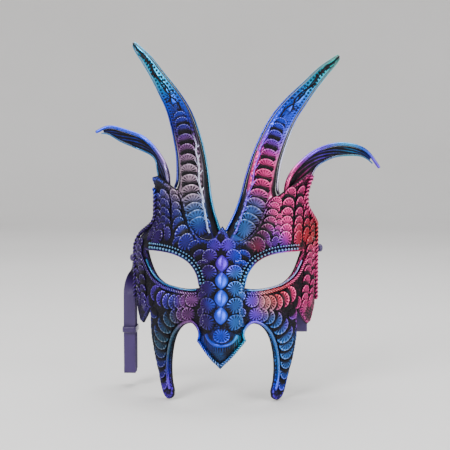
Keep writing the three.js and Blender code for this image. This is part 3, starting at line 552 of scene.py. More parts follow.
def make(name, form, material, *nodes, slot=None, body="mask"):
    """Puts a form, in millimetres, into a mesh in metres with its painted-light colour and its
    light-and-patina attributes.
    """
    form.outward()
    mesh = bpy.data.meshes.new(name)
    faces = [f for block in form.faces for f in block.tolist()]
    mesh.from_pydata(((form.points + SHIFT) / 1000).tolist(), [], faces)
    mesh.shade_smooth()

    def store(key, kind, field, values):
        data = mesh.attributes.new(key, kind, "POINT").data
        data.foreach_set(field, values.astype(np.float32).ravel())

    # The paint colour is painted coloured light: the zones' light, with the form's own swatch over it by its
    # share.
    colour = mix(painted(form.points), form.tint[:, :3], form.tint[:, 3:])
    store("paint", "FLOAT_COLOR", "color", np.hstack([colour, np.ones((len(colour), 1))]))
    store("clean", "FLOAT", "value", np.clip(form.clean, 0, 1))
    if form.weave is not None:
        store("weave", "FLOAT_VECTOR", "vector", form.weave)
    mesh.materials.append(finish(material))
    piece = bpy.data.objects.new(name, mesh)
    bpy.context.scene.collection.objects.link(piece)
    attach(piece, body)
    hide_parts(*nodes)
    return piece


# ---- shader maths ----


class Value:
    """A socket that can be used in sums: each operator adds its Math node."""

    def __init__(self, paint, socket):
        self.paint, self.socket = paint, socket

    def math(self, operation, *values):
        return self.paint.node("ShaderNodeMath", {"operation": operation}, *values)

    def __add__(self, other):
        return self.math("ADD", self, other)

    def __mul__(self, other):
        return self.math("MULTIPLY", self, other)

    def __sub__(self, other):
        return self.math("SUBTRACT", self, other)

    def __rsub__(self, other):
        return self.math("SUBTRACT", other, self)

    __radd__ = __add__
    __rmul__ = __mul__


class Paint:
    """A material under construction."""

    def __init__(self, name, **constants):
        self.material = bpy.data.materials.new(name)
        self.material.use_nodes = True
        self.tree = self.material.node_tree
        self.shader = self.tree.nodes["Principled BSDF"]
        for socket, value in constants.items():
            self.shader.inputs[socket.replace("_", " ")].default_value = value

    def node(self, kind, settings, *values, out=0, **named):
        """Adds a node, sets it up, gives its sockets values or links, and returns one of its outputs."""
        node = self.tree.nodes.new(kind)
        for key, value in settings.items():
            if key == "stops":
                ramp = node.color_ramp
                while len(ramp.elements) < len(value):
                    ramp.elements.new(0.5)
                for element, (at, colour) in zip(ramp.elements, value):
                    element.position, element.color = at, (*colour, 1)
            else:
                setattr(node, key, value)
        pairs = list(enumerate(values)) + [(k.replace("_", " "), v) for k, v in named.items()]
        for key, value in pairs:
            if isinstance(value, Value):
                self.tree.links.new(value.socket, node.inputs[key])
            elif value is not None:
                node.inputs[key].default_value = value
        return Value(self, node.outputs[out])

    def attribute(self, name, out="Fac"):
        return self.node("ShaderNodeAttribute", {"attribute_name": name}, out=out)

    def place(self):
        return self.node("ShaderNodeTexCoord", {}, out="Object")

    def noise(self, where, scale, detail=3.0, rough=0.5):
        return self.node("ShaderNodeTexNoise", {}, Vector=where, Scale=scale, Detail=detail, Roughness=rough)

    def blend(self, share, a, b, how="MIX"):
        return self.node("ShaderNodeMix", {"data_type": "RGBA", "blend_type": how}, share,
                         None, None, None, None, None, a, b, out=2)

    def wave(self, where, axis, scale, distortion):
        return self.node("ShaderNodeTexWave", {"bands_direction": axis}, Vector=where, Scale=scale,
                         Distortion=distortion)

    def step(self, value, low, high):
        return self.node("ShaderNodeMapRange", {"interpolation_type": "SMOOTHSTEP"}, value, low, high,
                         0.0, 1.0)

    def bump(self, height, strength, distance):
        return self.node("ShaderNodeBump", {}, Strength=strength, Distance=distance, Height=height)

    def feed(self, **links):
        for socket, value in links.items():
            self.tree.links.new(value.socket, self.shader.inputs[socket.replace("_", " ")])
        return self.material


def painted_resin(name, gloss, highlight_strength, grain, tiny=0.0):
    """Metallic paint over black: black patina and painted shade where the light-and-patina attribute is low,
    a pale painted highlight where it is high; the paint colour is painted coloured light.
    """
    p = Paint(name, Coat_Weight=0.06, Coat_Roughness=0.2, Specular_IOR_Level=0.22)
    where = p.place()
    blotch = p.noise(where, 90.0, 4.0)
    fine = p.noise(where, grain, 4.0, 0.6)
    clean = p.attribute("clean")
    height = fine * 0.5
    if tiny:
        cell = p.node("ShaderNodeTexVoronoi", {"feature": "DISTANCE_TO_EDGE"}, Vector=where, Scale=tiny)
        groove = p.step(cell, 0.0, 0.22)
        clean = clean * (0.25 + groove * 0.75)
        height = height + groove * 2.0
    # Black patina, with painted shade, where the attribute is low.
    out_of_shade_and_patina = p.step(clean + (blotch - 0.5) * 0.45 + (fine - 0.5) * 0.35, 0.14, 0.62)
    # Painted highlight where the attribute is high.
    bright = p.step(clean + (fine - 0.5) * 0.4, 0.72, 1.1)
    colour = p.attribute("paint", "Color")
    colour = p.blend(0.65, colour, colour, "MULTIPLY")
    deep = p.blend(0.5, colour, (0.01, 0.006, 0.03, 1), "MULTIPLY")
    colour = p.blend(blotch * 0.35, colour, deep)
    # The painted highlight's pale colour.
    pale = p.blend(0.38, colour, (0.9, 0.95, 1.0, 1))
    colour = p.blend(bright * (0.8 * highlight_strength), colour, pale)
    colour = p.blend(out_of_shade_and_patina, (0.002, 0.0015, 0.004, 1), colour)
    return p.feed(Base_Color=colour, Metallic=out_of_shade_and_patina * 0.92, Normal=p.bump(height, 0.35, 0.0004),
                  Roughness=(0.8 - out_of_shade_and_patina * (0.8 - gloss)) + fine * 0.12)


def shades(colour, dark, light):
    """A dark and a light multiple of one colour."""
    return tuple((*(c * share for c in colour), 1) for share in (dark, light))


def satin():
    """Dark violet ribbon: fine warp lines across, softer weft along, and a sheen."""
    p = Paint("violet_satin", Sheen_Weight=0.5, Sheen_Roughness=0.35, Specular_IOR_Level=0.6)
    at = p.attribute("weave", "Vector")
    warp, weft = p.wave(at, "X", 900.0, 0.6), p.wave(at, "Y", 420.0, 1.2)
    cloud = p.noise(p.place(), 60.0)
    colour = p.blend(cloud * 0.6 + warp * 0.2, *shades(swatch("ribbon"), 0.45, 1.5))
    return p.feed(Base_Color=colour, Roughness=0.3 + warp * 0.1 + cloud * 0.15,
                  Normal=p.bump(warp * 0.5 + weft * 0.5, 0.3, 0.0002))


def felt():
    """Matted fibre: fine noise over a coarser cloud, quite rough."""
    p = Paint("black_felt", Sheen_Weight=0.3, Sheen_Roughness=0.6, Specular_IOR_Level=0.2)
    where = p.place()
    fibre, cloud = p.noise(where, 1400.0, 5.0, 0.7), p.noise(where, 120.0)
    tone = p.blend(fibre * 0.7 + cloud * 0.4, *shades((0.012, 0.01, 0.014), 0.4, 2.2))
    return p.feed(Base_Color=tone, Roughness=0.82 + fibre * 0.15, Normal=p.bump(fibre, 0.7, 0.0006))


def pad_cloth():
    """Dark knitted cloth: two crossed waves for the loops over a soft cloud."""
    p = Paint("pad_cloth", Sheen_Weight=0.25, Sheen_Roughness=0.5, Specular_IOR_Level=0.25)
    where = p.place()
    knit = p.wave(where, "X", 420.0, 1.0) * p.wave(where, "Z", 520.0, 1.0)
    cloud = p.noise(where, 150.0)
    tone = p.blend(knit * 0.6 + cloud * 0.4, (0.012, 0.009, 0.02, 1), (0.12, 0.09, 0.17, 1))
    return p.feed(Base_Color=tone, Roughness=0.8 + cloud * 0.15, Normal=p.bump(knit, 0.6, 0.0004))


def aged_brass():
    """Brass with brown tarnish in blotches and fine scratches."""
    p = Paint("aged_brass", Metallic=1.0)
    where = p.place()
    blotch = p.noise(where, 260.0, 5.0, 0.6)
    scratch = p.noise(where, 2600.0, 2.0)
    stops = (0.3, (0.1, 0.06, 0.025)), (0.7, (0.5, 0.34, 0.14))
    tone = p.node("ShaderNodeValToRGB", {"stops": stops}, blotch)
    return p.feed(Base_Color=tone, Roughness=0.5 - blotch * 0.3 + scratch * 0.1,
                  Normal=p.bump(scratch, 0.2, 0.0001))


def pale_floor():
    """Pale matt paper with a faint cloud."""
    p = Paint("pale_floor", Specular_IOR_Level=0.2)
    cloud = p.noise(p.place(), 2.5)
    tone = p.blend(cloud, (0.62, 0.61, 0.6, 1), (0.7, 0.69, 0.68, 1))
    return p.feed(Base_Color=tone, Roughness=0.7 + cloud * 0.1)


# Name, gloss, strength of the painted highlight, grain scale and, for the shell, groove scale.
RESINS = {
    "shell": ("embossed_violet_resin", 0.34, 0.8, 1100.0, 420.0),
    "horn": ("etched_horn_resin", 0.26, 0.9, 1200.0),
    "scale": ("rubbed_scale_resin", 0.24, 1.0, 1300.0),
    "medallion": ("bright_medallion_resin", 0.32, 0.5, 1000.0),
    "trim": ("bright_trim_resin", 0.22, 0.8, 1000.0),
}
OTHERS = {"satin": satin, "felt": felt, "pad": pad_cloth, "brass": aged_brass, "floor": pale_floor}
MATERIALS = {}


def finish(name):
    """The named material, made once."""
    if name not in MATERIALS:
        MATERIALS[name] = painted_resin(*RESINS[name]) if name in RESINS else OTHERS[name]()
    return MATERIALS[name]


# ---- ties ----


def ribbon_path(side):
    """Centreline of a tie, down from the knot, then back and forth in the folds of its hank, and how far
    its width has turned at each point."""
    runs = HANK_RUNS[side]
    x0 = FACE_HALF + (KNOT_OUT if side == "left" else -SHELL_WALL - KNOT_OUT)
    x0 += KNOT_LONG / 2 * (1 if side == "left" else -1)
    x1, top = HANK_X[side], HANK_TOP[side] - TURN_BACK
    bottom = HANK_TOP[side] - HANK_RUN[side] + TURN_BACK
    y = (np.arange(runs) - (runs - 1) / 2) * RUN_PITCH
    t = np.linspace(0, 1, 18)
    turn = smooth(t)
    parts = [stacked(mix(x0, x1, turn), y[0] * turn, mix(EYELET_Z[side] - KNOT_R - 0.2, top, t))]
    for k in range(runs):
        down = -1 if k % 2 == 0 else 1
        start, end = (top, bottom) if down < 0 else (bottom, top)
        swell = 0.25 * down * np.sin(np.linspace(0, np.pi, 24)[1:])
        parts.append(stacked(x1, y[k] + swell, np.linspace(start, end, 24)[1:]))
        if k + 1 < runs:
            a = np.linspace(0, np.pi, 12)[1:]
            parts.append(stacked(x1, y[k] + RUN_PITCH / 2 * (1 - np.cos(a)),
                                 end + down * RUN_PITCH / 2 * np.sin(a)))
    path = np.vstack(parts) * np.array([SIDES[side], 1, 1])
    return path, np.concatenate([turn, np.ones(len(path) - 18)])


def weave_of(along, across):
    """Cloth coordinates in metres, from millimetres along and across a ribbon."""
    return stacked(along, across, 0).reshape(-1, 3) / 1000


def ribbon_form(side):
    """A flat oval section, selvedges a little thicker, carried along the path with its width turning."""
    path, turn = ribbon_path(side)
    along = unit(np.gradient(path, axis=0))
    wide_dir = stacked(np.sin(turn * np.pi / 2), np.cos(turn * np.pi / 2), 0)
    wide_dir = unit(wide_dir - along * np.sum(wide_dir * along, -1, keepdims=True))
    thick_dir = np.cross(along, wide_dir)
    a, s = spread(28), run_length(path)
    gather = mix(0.42, 1, smooth(turn * 2.5))[:, None]
    across = squared(np.cos(a), 0.7)
    crown = squared(np.sin(a), 0.5) * (0.75 + 0.25 * np.abs(across) ** 6)
    cup = 0.22 * np.sin(2 * np.pi * s / 47)[:, None] * (across**2 - 0.5)
    points = (path[:, None] + wide_dir[:, None] * (gather * across * RIBBON_WIDE / 2)[..., None]
              + thick_dir[:, None] * (crown * RIBBON_THICK / 2 + cup)[..., None])
    form = lofted(points, 0.8)
    form.weave = weave_of(s[:, None], across * 5)
    return form, path, float(s[-1])


def turned(side, radius, out, count=56, pleat=None):
    """A profile turned about the eyelet's axis; pleat(angle, k) scales the radius."""
    a = spread(count)
    r = np.asarray(radius, float)[:, None] * np.ones(count)
    if pleat is not None:
        r = r * pleat(a[None, :], np.linspace(0, 1, len(radius))[:, None])
    x = SIDES[side] * (FACE_HALF + np.asarray(out, float))[:, None] * np.ones(count)
    return stacked(x, r * np.cos(a), EYELET_Z[side] + r * np.sin(a))


def eyelet_form(side):
    """A rolled brass ring: flange, barrel and flange as one closed band round the bore."""
    seat, rim = EYELET_SEAT, EYELET_RIM
    inn = -SHELL_WALL - seat
    bore, flange = EYELET_BORE, EYELET_FLANGE
    half = [bore, bore + 0.1, 3.0, flange - 0.4, flange, flange - 0.05, flange - 0.3, EYELET_BARREL]
    x = [inn - 0.3, inn - 0.6, inn - rim, inn - 0.6, inn - 0.35, inn - 0.1, inn, inn, seat, seat,
         seat + 0.1, seat + 0.35, seat + 0.6, seat + rim, seat + 0.6, seat + 0.3]
    return hoop(np.swapaxes(turned(side, half + half[::-1], x), 0, 1), 0.9)


def knot_form(side):
    """Two gathered balls joined through the eyelet: a profile turned with slanting pleats."""
    inn = -SHELL_WALL - KNOT_OUT
    t = np.linspace(0, np.pi, 22)
    t = t[t > 0.42]
    ball_r = np.maximum(0.06, KNOT_R * np.sin(t) ** 0.8)
    ball_x = KNOT_LONG / 2 * (1 - np.cos(t)) - 0.1
    r = np.concatenate([ball_r[::-1], [KNOT_NECK] * 4, ball_r])
    x = np.concatenate([inn - ball_x[::-1], np.linspace(inn, KNOT_OUT, 4), KNOT_OUT + ball_x])
    r = np.where((x > inn - 0.4) & (x < KNOT_OUT + 0.4), np.minimum(r, KNOT_NECK), r)
    form = lofted(turned(side, r, x, 60, lambda a, s: 1 - 0.1 * (0.5 + 0.5 * np.sin(5 * a + 14 * s))), 0.8)
    form.weave = (form.points - form.points.mean(0)) / 1000
    return form


def tie_form(side):
    """A rounded-square band round the hank, carried on |cos|^0.3 and |sin|^0.3, with a creased section."""
    a, section = spread(96)[:, None], spread(16)
    wide, deep = RIBBON_WIDE / 2 + TIE_CLEAR, HANK_DEPTH[side] / 2 + TIE_CLEAR
    z = TIE_HALF * squared(np.sin(section), 0.6)
    out = TIE_CLEAR + 0.38 * np.cos(section) + 0.12 * np.sin(2.6 * z)
    px = SIDES[side] * HANK_X[side] + squared(np.cos(a), 0.3) * (wide + out)
    py = squared(np.sin(a), 0.3) * (deep + out)
    middle = HANK_TOP[side] - HANK_RUN[side] * 0.45
    form = hoop(stacked(px, py, middle + z), 0.8)
    form.weave = weave_of(a * 12, z)
    return form


# ---- sheets cut to an outline ----


def inside(points, loop):
    """Even-odd rule for every point at once."""
    a, b = loop, np.roll(loop, -1, axis=0)
    x, y = points[:, :1], points[:, 1:]
    crosses = (a[:, 1] > y) != (b[:, 1] > y)
    rise = np.where(b[:, 1] == a[:, 1], 1e-9, b[:, 1] - a[:, 1])
    at = a[:, 0] + (y - a[:, 1]) / rise * (b[:, 0] - a[:, 0])
    return np.sum(crosses & (x < at), axis=1) % 2 == 1


def held(points, loops):
    """Inside the first loop and outside the others."""
    return inside(points, loops[0]) & ~np.any([inside(points, hole) for hole in loops[1:]], axis=0)


def edge_distance(points, loops):
    """Distance from each point to the nearest edge of any loop."""
    best = np.full(len(points), 1e9)
    for loop in loops:
        a, b = loop, np.roll(loop, -1, axis=0)
        run = b - a
        for k in range(0, len(points), 2000):
            p = points[k:k + 2000, None]
            t = np.clip(np.sum((p - a) * run, -1) / np.maximum(np.sum(run**2, -1), 1e-12), 0, 1)
            gap = np.linalg.norm(p - (a + t[..., None] * run), axis=-1).min(axis=1)
            best[k:k + 2000] = np.minimum(best[k:k + 2000], gap)
    return best


def resampled(loop, pitch):
    """A closed loop with points about `pitch` apart."""
    ends = np.vstack([loop, loop[:1]])
    s = run_length(ends)
    at = np.linspace(0, s[-1], max(12, int(s[-1] / pitch)), endpoint=False)
    return stacked(np.interp(at, s, ends[:, 0]), np.interp(at, s, ends[:, 1]))


def cut_sheet(outline, holes, pitch, front, back, light_and_patina_of):
    """Triangles on the unrolled face inside the outline and outside the holes, given a front and a back.
    front(d), back(d) are heights off the face at distance d from the nearest edge."""
    loops = [resampled(loop, pitch) for loop in [outline] + holes]
    low, high = outline.min(0), outline.max(0)
    xs, ys = np.arange(low[0], high[0], pitch), np.arange(low[1], high[1], pitch * 0.866)
    grid = np.stack(np.meshgrid(xs, ys, indexing="ij"), -1)
    grid[:, 1::2, 0] += pitch / 2
    grid = grid.reshape(-1, 2)
    grid = grid[held(grid, loops)]
    grid = grid[edge_distance(grid, loops) > pitch * 0.55]
    spots = np.vstack(loops + [grid])
    edges, start = [], 0
    for loop in loops:
        k = np.arange(len(loop))
        edges.append(stacked(start + k, start + (k + 1) % len(loop)))
        start += len(loop)
    edges = np.vstack(edges)
    found = delaunay_2d_cdt([Vector(p) for p in spots.tolist()], edges.tolist(), [], 0, 1e-6)
    flat = np.array([v[:] for v in found[0]])
    tris = np.array(found[2])
    tris = tris[held(flat[tris].mean(axis=1), loops)]
    used, tris = np.unique(tris, return_inverse=True)
    flat, tris = flat[used], tris.reshape(-1, 3)
    pairs = np.vstack([tris[:, [0, 1]], tris[:, [1, 2]], tris[:, [2, 0]]])
    key = np.sort(pairs, axis=1)
    _, index, count = np.unique(key, axis=0, return_index=True, return_counts=True)
    rim = pairs[index[count == 1]]
    gap = edge_distance(flat, loops)
    n = len(flat)
    outer, inner = (on_face(flat[:, 0], flat[:, 1], side(gap)) for side in (front, back))
    walls = stacked(rim[:, 1], rim[:, 0], rim[:, 0] + n, rim[:, 1] + n)
    area = 0.5 * np.linalg.norm(np.cross(outer[tris[:, 1]] - outer[tris[:, 0]],
                                         outer[tris[:, 2]] - outer[tris[:, 0]]), axis=1).sum()
    form = Form(np.vstack([outer, inner]), [tris, tris[:, ::-1] + n, walls],
                np.concatenate([light_and_patina_of(gap, outer), np.full(n, 0.1)]))
    return form, area


def sampled(curve, count, low=0.0, high=1.0):
    """Points of a curve at even parameters."""
    return curve(np.linspace(low, high, count))


def seam_side(over):
    """The face's side of the joint line, a slit away from it."""
    d = unit(horn_seam(over + 1 / HORN_SPANS) - horn_seam(over - 1 / HORN_SPANS))
    return horn_seam(over) + stacked(d[..., 1], -d[..., 0]) * SEAM_SLIT


def straight(a, b, count):
    """Points on the line from a to b."""
    return mix(np.asarray(a, float), np.asarray(b, float), np.linspace(0, 1, count)[:, None])


def half_outline(side):
    """One side's edge on the unrolled face, from under the nose round to the point between the horns."""
    sign = SIDES[side]
    front = drawn_flat(side, np.vstack([sampled(nose_edge, 14), sampled(mouth_edge, 60, 0.03),
                                        sampled(tusk_outer, 60, 0.03), sampled(wing_foot, 16, 0.1)]))
    tip = place(sign, WING_TOP[side])
    z = np.linspace(-47.2, tip[1] - 1, 160)
    edge = stacked(sign * back_edge(side, z) * FACE_HALF, z)
    slope = straight([sign * (FACE_HALF + 12), tip[1] - 8], tip, 120)
    free = np.abs(angle_at(slope[:, 0], slope[:, 1])) < back_edge(side, slope[:, 1])
    free &= np.abs(slope[:, 0]) < half_width(slope[:, 1], slope[:, 0] < 0) * 0.99
    slope = unroll(slope[free])
    edge = edge[z < slope[0, 1]]
    shoulder = float(horn_insets(side, np.array(0.0))[3])
    overs = np.linspace(1, shoulder, 40)
    seam = place(sign, seam_side(overs))
    knee, peak = place(sign, [4.2, 31]), place(sign, [0, NOTCH_PEAK])
    top = unroll(np.vstack([straight(tip, seam[0], 24)[1:], seam[1:], straight(seam[-1], knee, 6)[1:],
                            straight(knee, peak, 8)[1:]]))
    return np.vstack([front, edge, slope, top])


def face_outline():
    """The whole edge of the unrolled face: the right half, then the left one back."""
    right, left = half_outline("right"), half_outline("left")[::-1]
    return np.vstack([right, left[1:-1]])


def eye_loop(side, grow=0.0):
    """An eye opening on the unrolled face, pushed `grow` away from its middle."""
    loop = np.vstack([sampled(upper_lid, 60), sampled(lower_lid, 60)[::-1][1:-1]])
    out = unit(loop - EYE_MIDDLE)
    return drawn_flat(side, loop + out * grow)


def eyelet_loop(side, radius):
    """A round hole at the temple, widened on the unrolled face by half width over depth."""
    a = spread(28)
    u = SIDES[side] * (np.pi / 2 * FACE_HALF + radius * FACE_HALF / FACE_DEPTH * np.cos(a))
    return stacked(u, EYELET_Z[side] + radius * np.sin(a))


def face_shell_form():
    """The carved face: a raised roll along every edge, on the mould surface."""
    holes = [eye_loop(s) for s in SIDES] + [eyelet_loop(s, EYELET_HOLE) for s in SIDES]
    roll = lambda d: 0.55 * bell(d - 1.6, 0.9) - 0.5 * bell(d, 0.5)
    # Lighter on the crest of the edge roll and towards the temples.
    clean = lambda d, p: 0.2 + 0.5 * bell(d - 1.6, 1.0) + 0.12 * smooth((np.abs(p[:, 0]) - 62) / 8)
    inside_face = lambda d: 0.4 * bell(d, 0.5) - SHELL_WALL
    return cut_sheet(face_outline(), holes, 1.5, roll, inside_face, clean)[0]


def lining_form():
    """Felt over the brow and cheeks, cut clear of the eyes, the nose and the edges."""
    drawn = line([[16, 22], [30, 34], [40, 46], [52, 52], [66, 42], [78, 30], [84, 0], [76, -22], [66, -26],
                  [57, -36], [50, -40], [40, -40], [30, -36], [22, -28], [17, -14], [14, 2]])
    half = sampled(drawn, 90)
    half[:, 0] = np.minimum(half[:, 0], 73)
    outline = np.vstack([drawn_flat("right", half), drawn_flat("left", half)[::-1]])
    limit = FACE_HALF * math.radians(76)
    outline[:, 0] = np.clip(outline[:, 0], -limit, limit)
    out = -SHELL_WALL - LINING_GAP
    return cut_sheet(outline, [eye_loop(s, 3.0) for s in SIDES], 2.0, lambda d: 0 * d + out,
                     lambda d: 0 * d + out - LINING_WALL, lambda d, p: 0 * d + 0.5)


def pad_form():
    """A crowned cushion: its back is flat, its sides pull in between the corners, and a seam runs round."""
    u, v = np.linspace(-1, 1, 65), np.linspace(-1, 1, 33)
    uu, vv = np.meshgrid(u, v, indexing="ij")
    pull = 1 - 0.045 * (1 - np.abs(uu) ** 4)
    x = PAD_HALF * 0.985 * uu * (1 - 0.03 * (1 - vv**2))
    z = (PAD_LOW + PAD_HIGH) / 2 + (PAD_HIGH - PAD_LOW) / 2 * 0.985 * vv * pull
    border = np.maximum(np.abs(uu) ** 10, np.abs(vv) ** 6)
    front = mould(angle_at(x, z), z)[..., 1] + PAD_FRONT
    middle = PAD_BACK - 3.4
    puff = (1 - border) ** 0.5
    pucker = 0.25 * np.sin(uu * 34) * smooth((np.abs(vv) - 0.6) / 0.3) * (1 - border)
    yf = mix(middle, front + 0.3, puff * (1 - 0.08 * (uu**2 + vv**2) / 2)) + pucker
    yb = mix(middle, PAD_BACK, (1 - np.maximum(np.abs(uu), np.abs(vv)) ** 16) ** 0.5)
    return plate(stacked(x, yf, z), stacked(x, yb, z))


# ---- horns ----


def filigree(s, c, half, up):
    """Engraved pattern: dots along both edges, a waving stem, and outlined leaves to each side of it."""
    dot = lambda a, b, r: bell(np.hypot((a + 100) % DOT_PITCH - DOT_PITCH / 2, b), r)
    dots = dot(s, np.abs(c) - (half - 1.7), 0.85)
    dots = dots + dot(s + DOT_PITCH / 2, np.abs(c) - (half - 4.2), 0.55) * (half > 7)
    q = c - 0.3 * half * np.sin(2 * np.pi * s / STEM_WAVE)
    stem = bell(q, 0.6)
    cell = np.floor(s / LEAF_PITCH)
    local = s - (cell + 0.5) * LEAF_PITCH
    wing = np.where(cell % 2 == 0, 1, -1) * q
    reach = np.maximum(1.5, half * 0.62)
    share = np.clip(wing / reach, 0, 1)
    fat = 1.75 * np.sin(np.pi * share) ** 0.7
    bend = local - 1.8 * share**2 + 0.8
    leaf = bell(np.abs(bend) - fat, 0.48) * (wing > 0) * (wing < reach)
    vein = 0.7 * bell(bend, 0.3) * (wing > 0) * (share < 0.8)
    return np.clip(dots + (stem + leaf + vein) * mix(0.6, 1, up), 0, 1)


def horn_light_and_patina(side, share, carve, up):
    """How light a horn's front is, as painted light over patina: dark beside its scales, a dotted strip
    outside them, a painted highlight above, and the right horn painted lighter than the left.
    """
    strip = smooth((share - 0.6) / 0.12)
    inner = smooth((-share - 0.5) / 0.2)
    base = {"left": 0.1 + 0.5 * strip + 0.08 * inner, "right": 0.3 + 0.6 * strip + 0.12 * inner}[side]
    return mix(base - carve * 0.9 * strip + carve * 0.55 * (1 - strip), 0.66 - carve, up)


def horn_form(side):
    """A channel open at the back: engraved front, leaning walls, and a hollow that closes towards the tip."""
    along = HORN_END * np.linspace(0, 1, 250)[:, None]
    wide, _, edge, shoulder = horn_insets(side, along)
    depth = horn_depth(along)
    hollow = mix(HORN_WALL, depth - 0.6, smooth((along - 0.78) / 0.14))
    wall = np.minimum(0.03 + (0.47 - shoulder) * 0.4, HORN_WALL / wide)
    v, w = np.linspace(0, 1, 72)[None, :], np.linspace(0, 1, 9, endpoint=False)[None, :]
    half = wide * (1 - 2 * shoulder) / 2
    share = (v - 0.5) * 2
    up = smooth((along - 0.5) / 0.12)
    carve = filigree(along * HORN_LENGTH, share * half, half, up) * smooth(along / 0.05)
    front = horn_skin(side, along, mix(shoulder, 1 - shoulder, v), -0.38 * carve * mix(0.8, 1, up))
    back = horn_skin(side, along, mix(shoulder + wall, 1 - shoulder - wall, v), 0)
    back[..., 1] += hollow

    def wall_of(over, head):
        return mix(horn_chord(side, along, over, depth), head, w[..., None])

    outer = np.concatenate([wall_of(edge, horn_skin(side, along, shoulder, 0)), front,
                            wall_of(1 - edge, horn_skin(side, along, 1 - shoulder, 0))[:, ::-1]], axis=1)
    inner = np.concatenate([wall_of(edge + wall, back[:, :1]), back,
                            wall_of(1 - edge - wall, back[:, -1:])[:, ::-1]], axis=1)
    # Painted shade on the walls: darkest at the back, lighter towards the front edge.
    painted_light = np.repeat(0.06 + 0.42 * w**3, len(along), axis=0)
    # The front: painted light over patina.
    out_of_shade_and_patina = horn_light_and_patina(side, share, carve, up)
    return plate(outer, inner, np.concatenate([painted_light, out_of_shade_and_patina, painted_light[:, ::-1]], axis=1))


def front_up(path):
    """Vectors facing the front, square to the path."""
    along = unit(np.gradient(path, axis=0))
    return unit(np.array([0, -1, 0]) + along * along[:, 1:2])


# Swatch and share of the painted coloured light on each horn's inner and outer rim, below its upper third;
# the right horn's ice outer rim is a painted highlight.
RIM_TONES = {"left": [("cyan", 0.8), ("blue", 0.8)], "right": [("blue", 0.85), ("ice", 0.8)]}


def horn_rim_form(side, far):
    """A round roll along a horn's back edge, thinner towards the tip."""
    along = mix(0.02, 0.975, np.linspace(0, 1, 150))
    wide, rim, _, _ = horn_insets(side, along)
    over = rim / wide
    path = horn_chord(side, along, 1 - over if far else over, horn_depth(along) - rim)
    form = tube(path, rim, front_up(path), 14).toned(*RIM_TONES[side][far])
    form.tint[:, 3] *= 1 - smooth((form.points[:, 2] - 105) / 30)
    return form


# The vine's stem as along and over: drawn beside the column of scales, then up the middle of the horn.
vine_foot = np.array([[10, 31], [13.5, 42], [16.5, 53], [19.5, 64], [22.5, 80], [25, 94], [28, 105]])
vine_line = line(np.vstack([np.stack(horn_spot(vine_foot), -1),
                            [[0.55, 0.36], [0.65, 0.5], [0.8, 0.52], [0.96, 0.5]]]))


def vine_point(side, s, shift=0.0):
    """On the stem, which sways by a sine, and `shift` to its side."""
    along, over = np.moveaxis(vine_line(s), -1, 0)
    wide, _, _, shoulder = horn_insets(side, along)
    sway = mix(0.5, 0.9, smooth((s - 0.5) / 0.2)) * np.sin(s * 41) * (1 - smooth((s - 0.8) / 0.2))
    over = np.clip(over + (sway + shift) / wide, shoulder, 1 - shoulder)
    return horn_skin(side, along, over, mix(1.1 + LAYER_GAP + ROW_LIFT, 0.75, smooth((s - 0.47) / 0.1)))


def vine_form(side):
    """A stem up the horn with knobs at its joints, and short tapering twigs that leave it in turn. Beside the
    scales it carries painted coloured light and painted highlights; above them it is black."""
    s = np.linspace(0, 1, 260)
    path = vine_point(side, s)
    knob = 1 + 0.25 * bell((s * TWIGS) % 1 - 0.5, 0.18)
    # Painted coloured light on the vine: ice on the left, violet on the right.
    tones = {"left": ("ice", 0.55), "right": ("violet", 0.7)}[side]
    forms = [tube(path, VINE_R * mix(1, 0.5, s) * knob, front_up(path), 10)]
    t = np.linspace(0, 1, 14)
    for k in range(TWIGS):
        start = 0.04 + 0.042 * k
        turn = (1 if k % 2 else -1) * mix(3.4, 2.2, start)
        twig = vine_point(side, start + 0.03 * t, turn * t**0.8)
        forms.append(tube(twig, TWIG_R * mix(1, 0.5, t) * mix(1, 0.7, start), front_up(twig), 8))
    whole = merged(forms).toned(*tones)
    dark = smooth((whole.points[:, 2] - 104) / 10)
    whole.tint[:, 3] *= 1 - dark
    whole.clean = mix(whole.clean, 0.03, dark)
    return whole


horn_column = line([[16.5, 33], [21.5, 45], [26, 60], [29.6, 78], [32.6, 96], [37, 113], [41, 124]])


def horn_scales_form(side):
    """Thirteen fan scales up the horn, square to its middle line, the widest at its foot."""
    centres, headings, s = row_stations(horn_column, HORN_SCALES)
    wide = np.interp(s, [0, 0.4, 1], [8.3, 7.4, 4.2])

    def surface(x, z, lift):
        return horn_at(side, stacked(x, z), lift + ROW_LIFT)

    return fan_scales(surface, centres, headings, wide, wide * 0.94, 2.0, 16, foot=first_bare(HORN_SCALES))


# ---- crescents ----


def crescent_face(side, t, over):
    """A blade point: between the drawn top and bottom lines, its depth easing from the mould to a plane."""
    tip, shoulder, base = TIP[side], SHOULDER[side], WING_TOP[side][0]
    top = line([[47, 60], [49, 77], [58, 91], [73, 104], [92, 110], shoulder, tip])
    bottom = line([[base - 3, 60], [base, 74], [base + 5, 87], [82, 94], [93, 98],
                   [shoulder[0] - 1, shoulder[1] - 8], [tip[0] - 2.5, tip[1] - 2]])
    t, over = np.broadcast_arrays(np.asarray(t, float), np.asarray(over, float))
    xz = mix(place(SIDES[side], top(t)), place(SIDES[side], bottom(t)), over[..., None])
    angle = angle_at(xz[..., 0], xz[..., 1])
    behind = mould(angle, xz[..., 1])[..., 1] + BLADE_THICK / np.maximum(0.3, np.cos(angle))
    return stacked(xz[..., 0], mix(behind, -12, smooth((t - 0.15) / 0.45)), xz[..., 1])


def crescent_height(side, t):
    """Distance between a blade's top and bottom lines."""
    return np.linalg.norm(crescent_face(side, t, 0) - crescent_face(side, t, 1), axis=-1)


def crescent_rim(low, t):
    """Radius of a blade's rim, which tapers to 0.6 of its start."""
    return (BLADE_LOW_RIM if low else BLADE_RIM) * mix(1, 0.6, t)


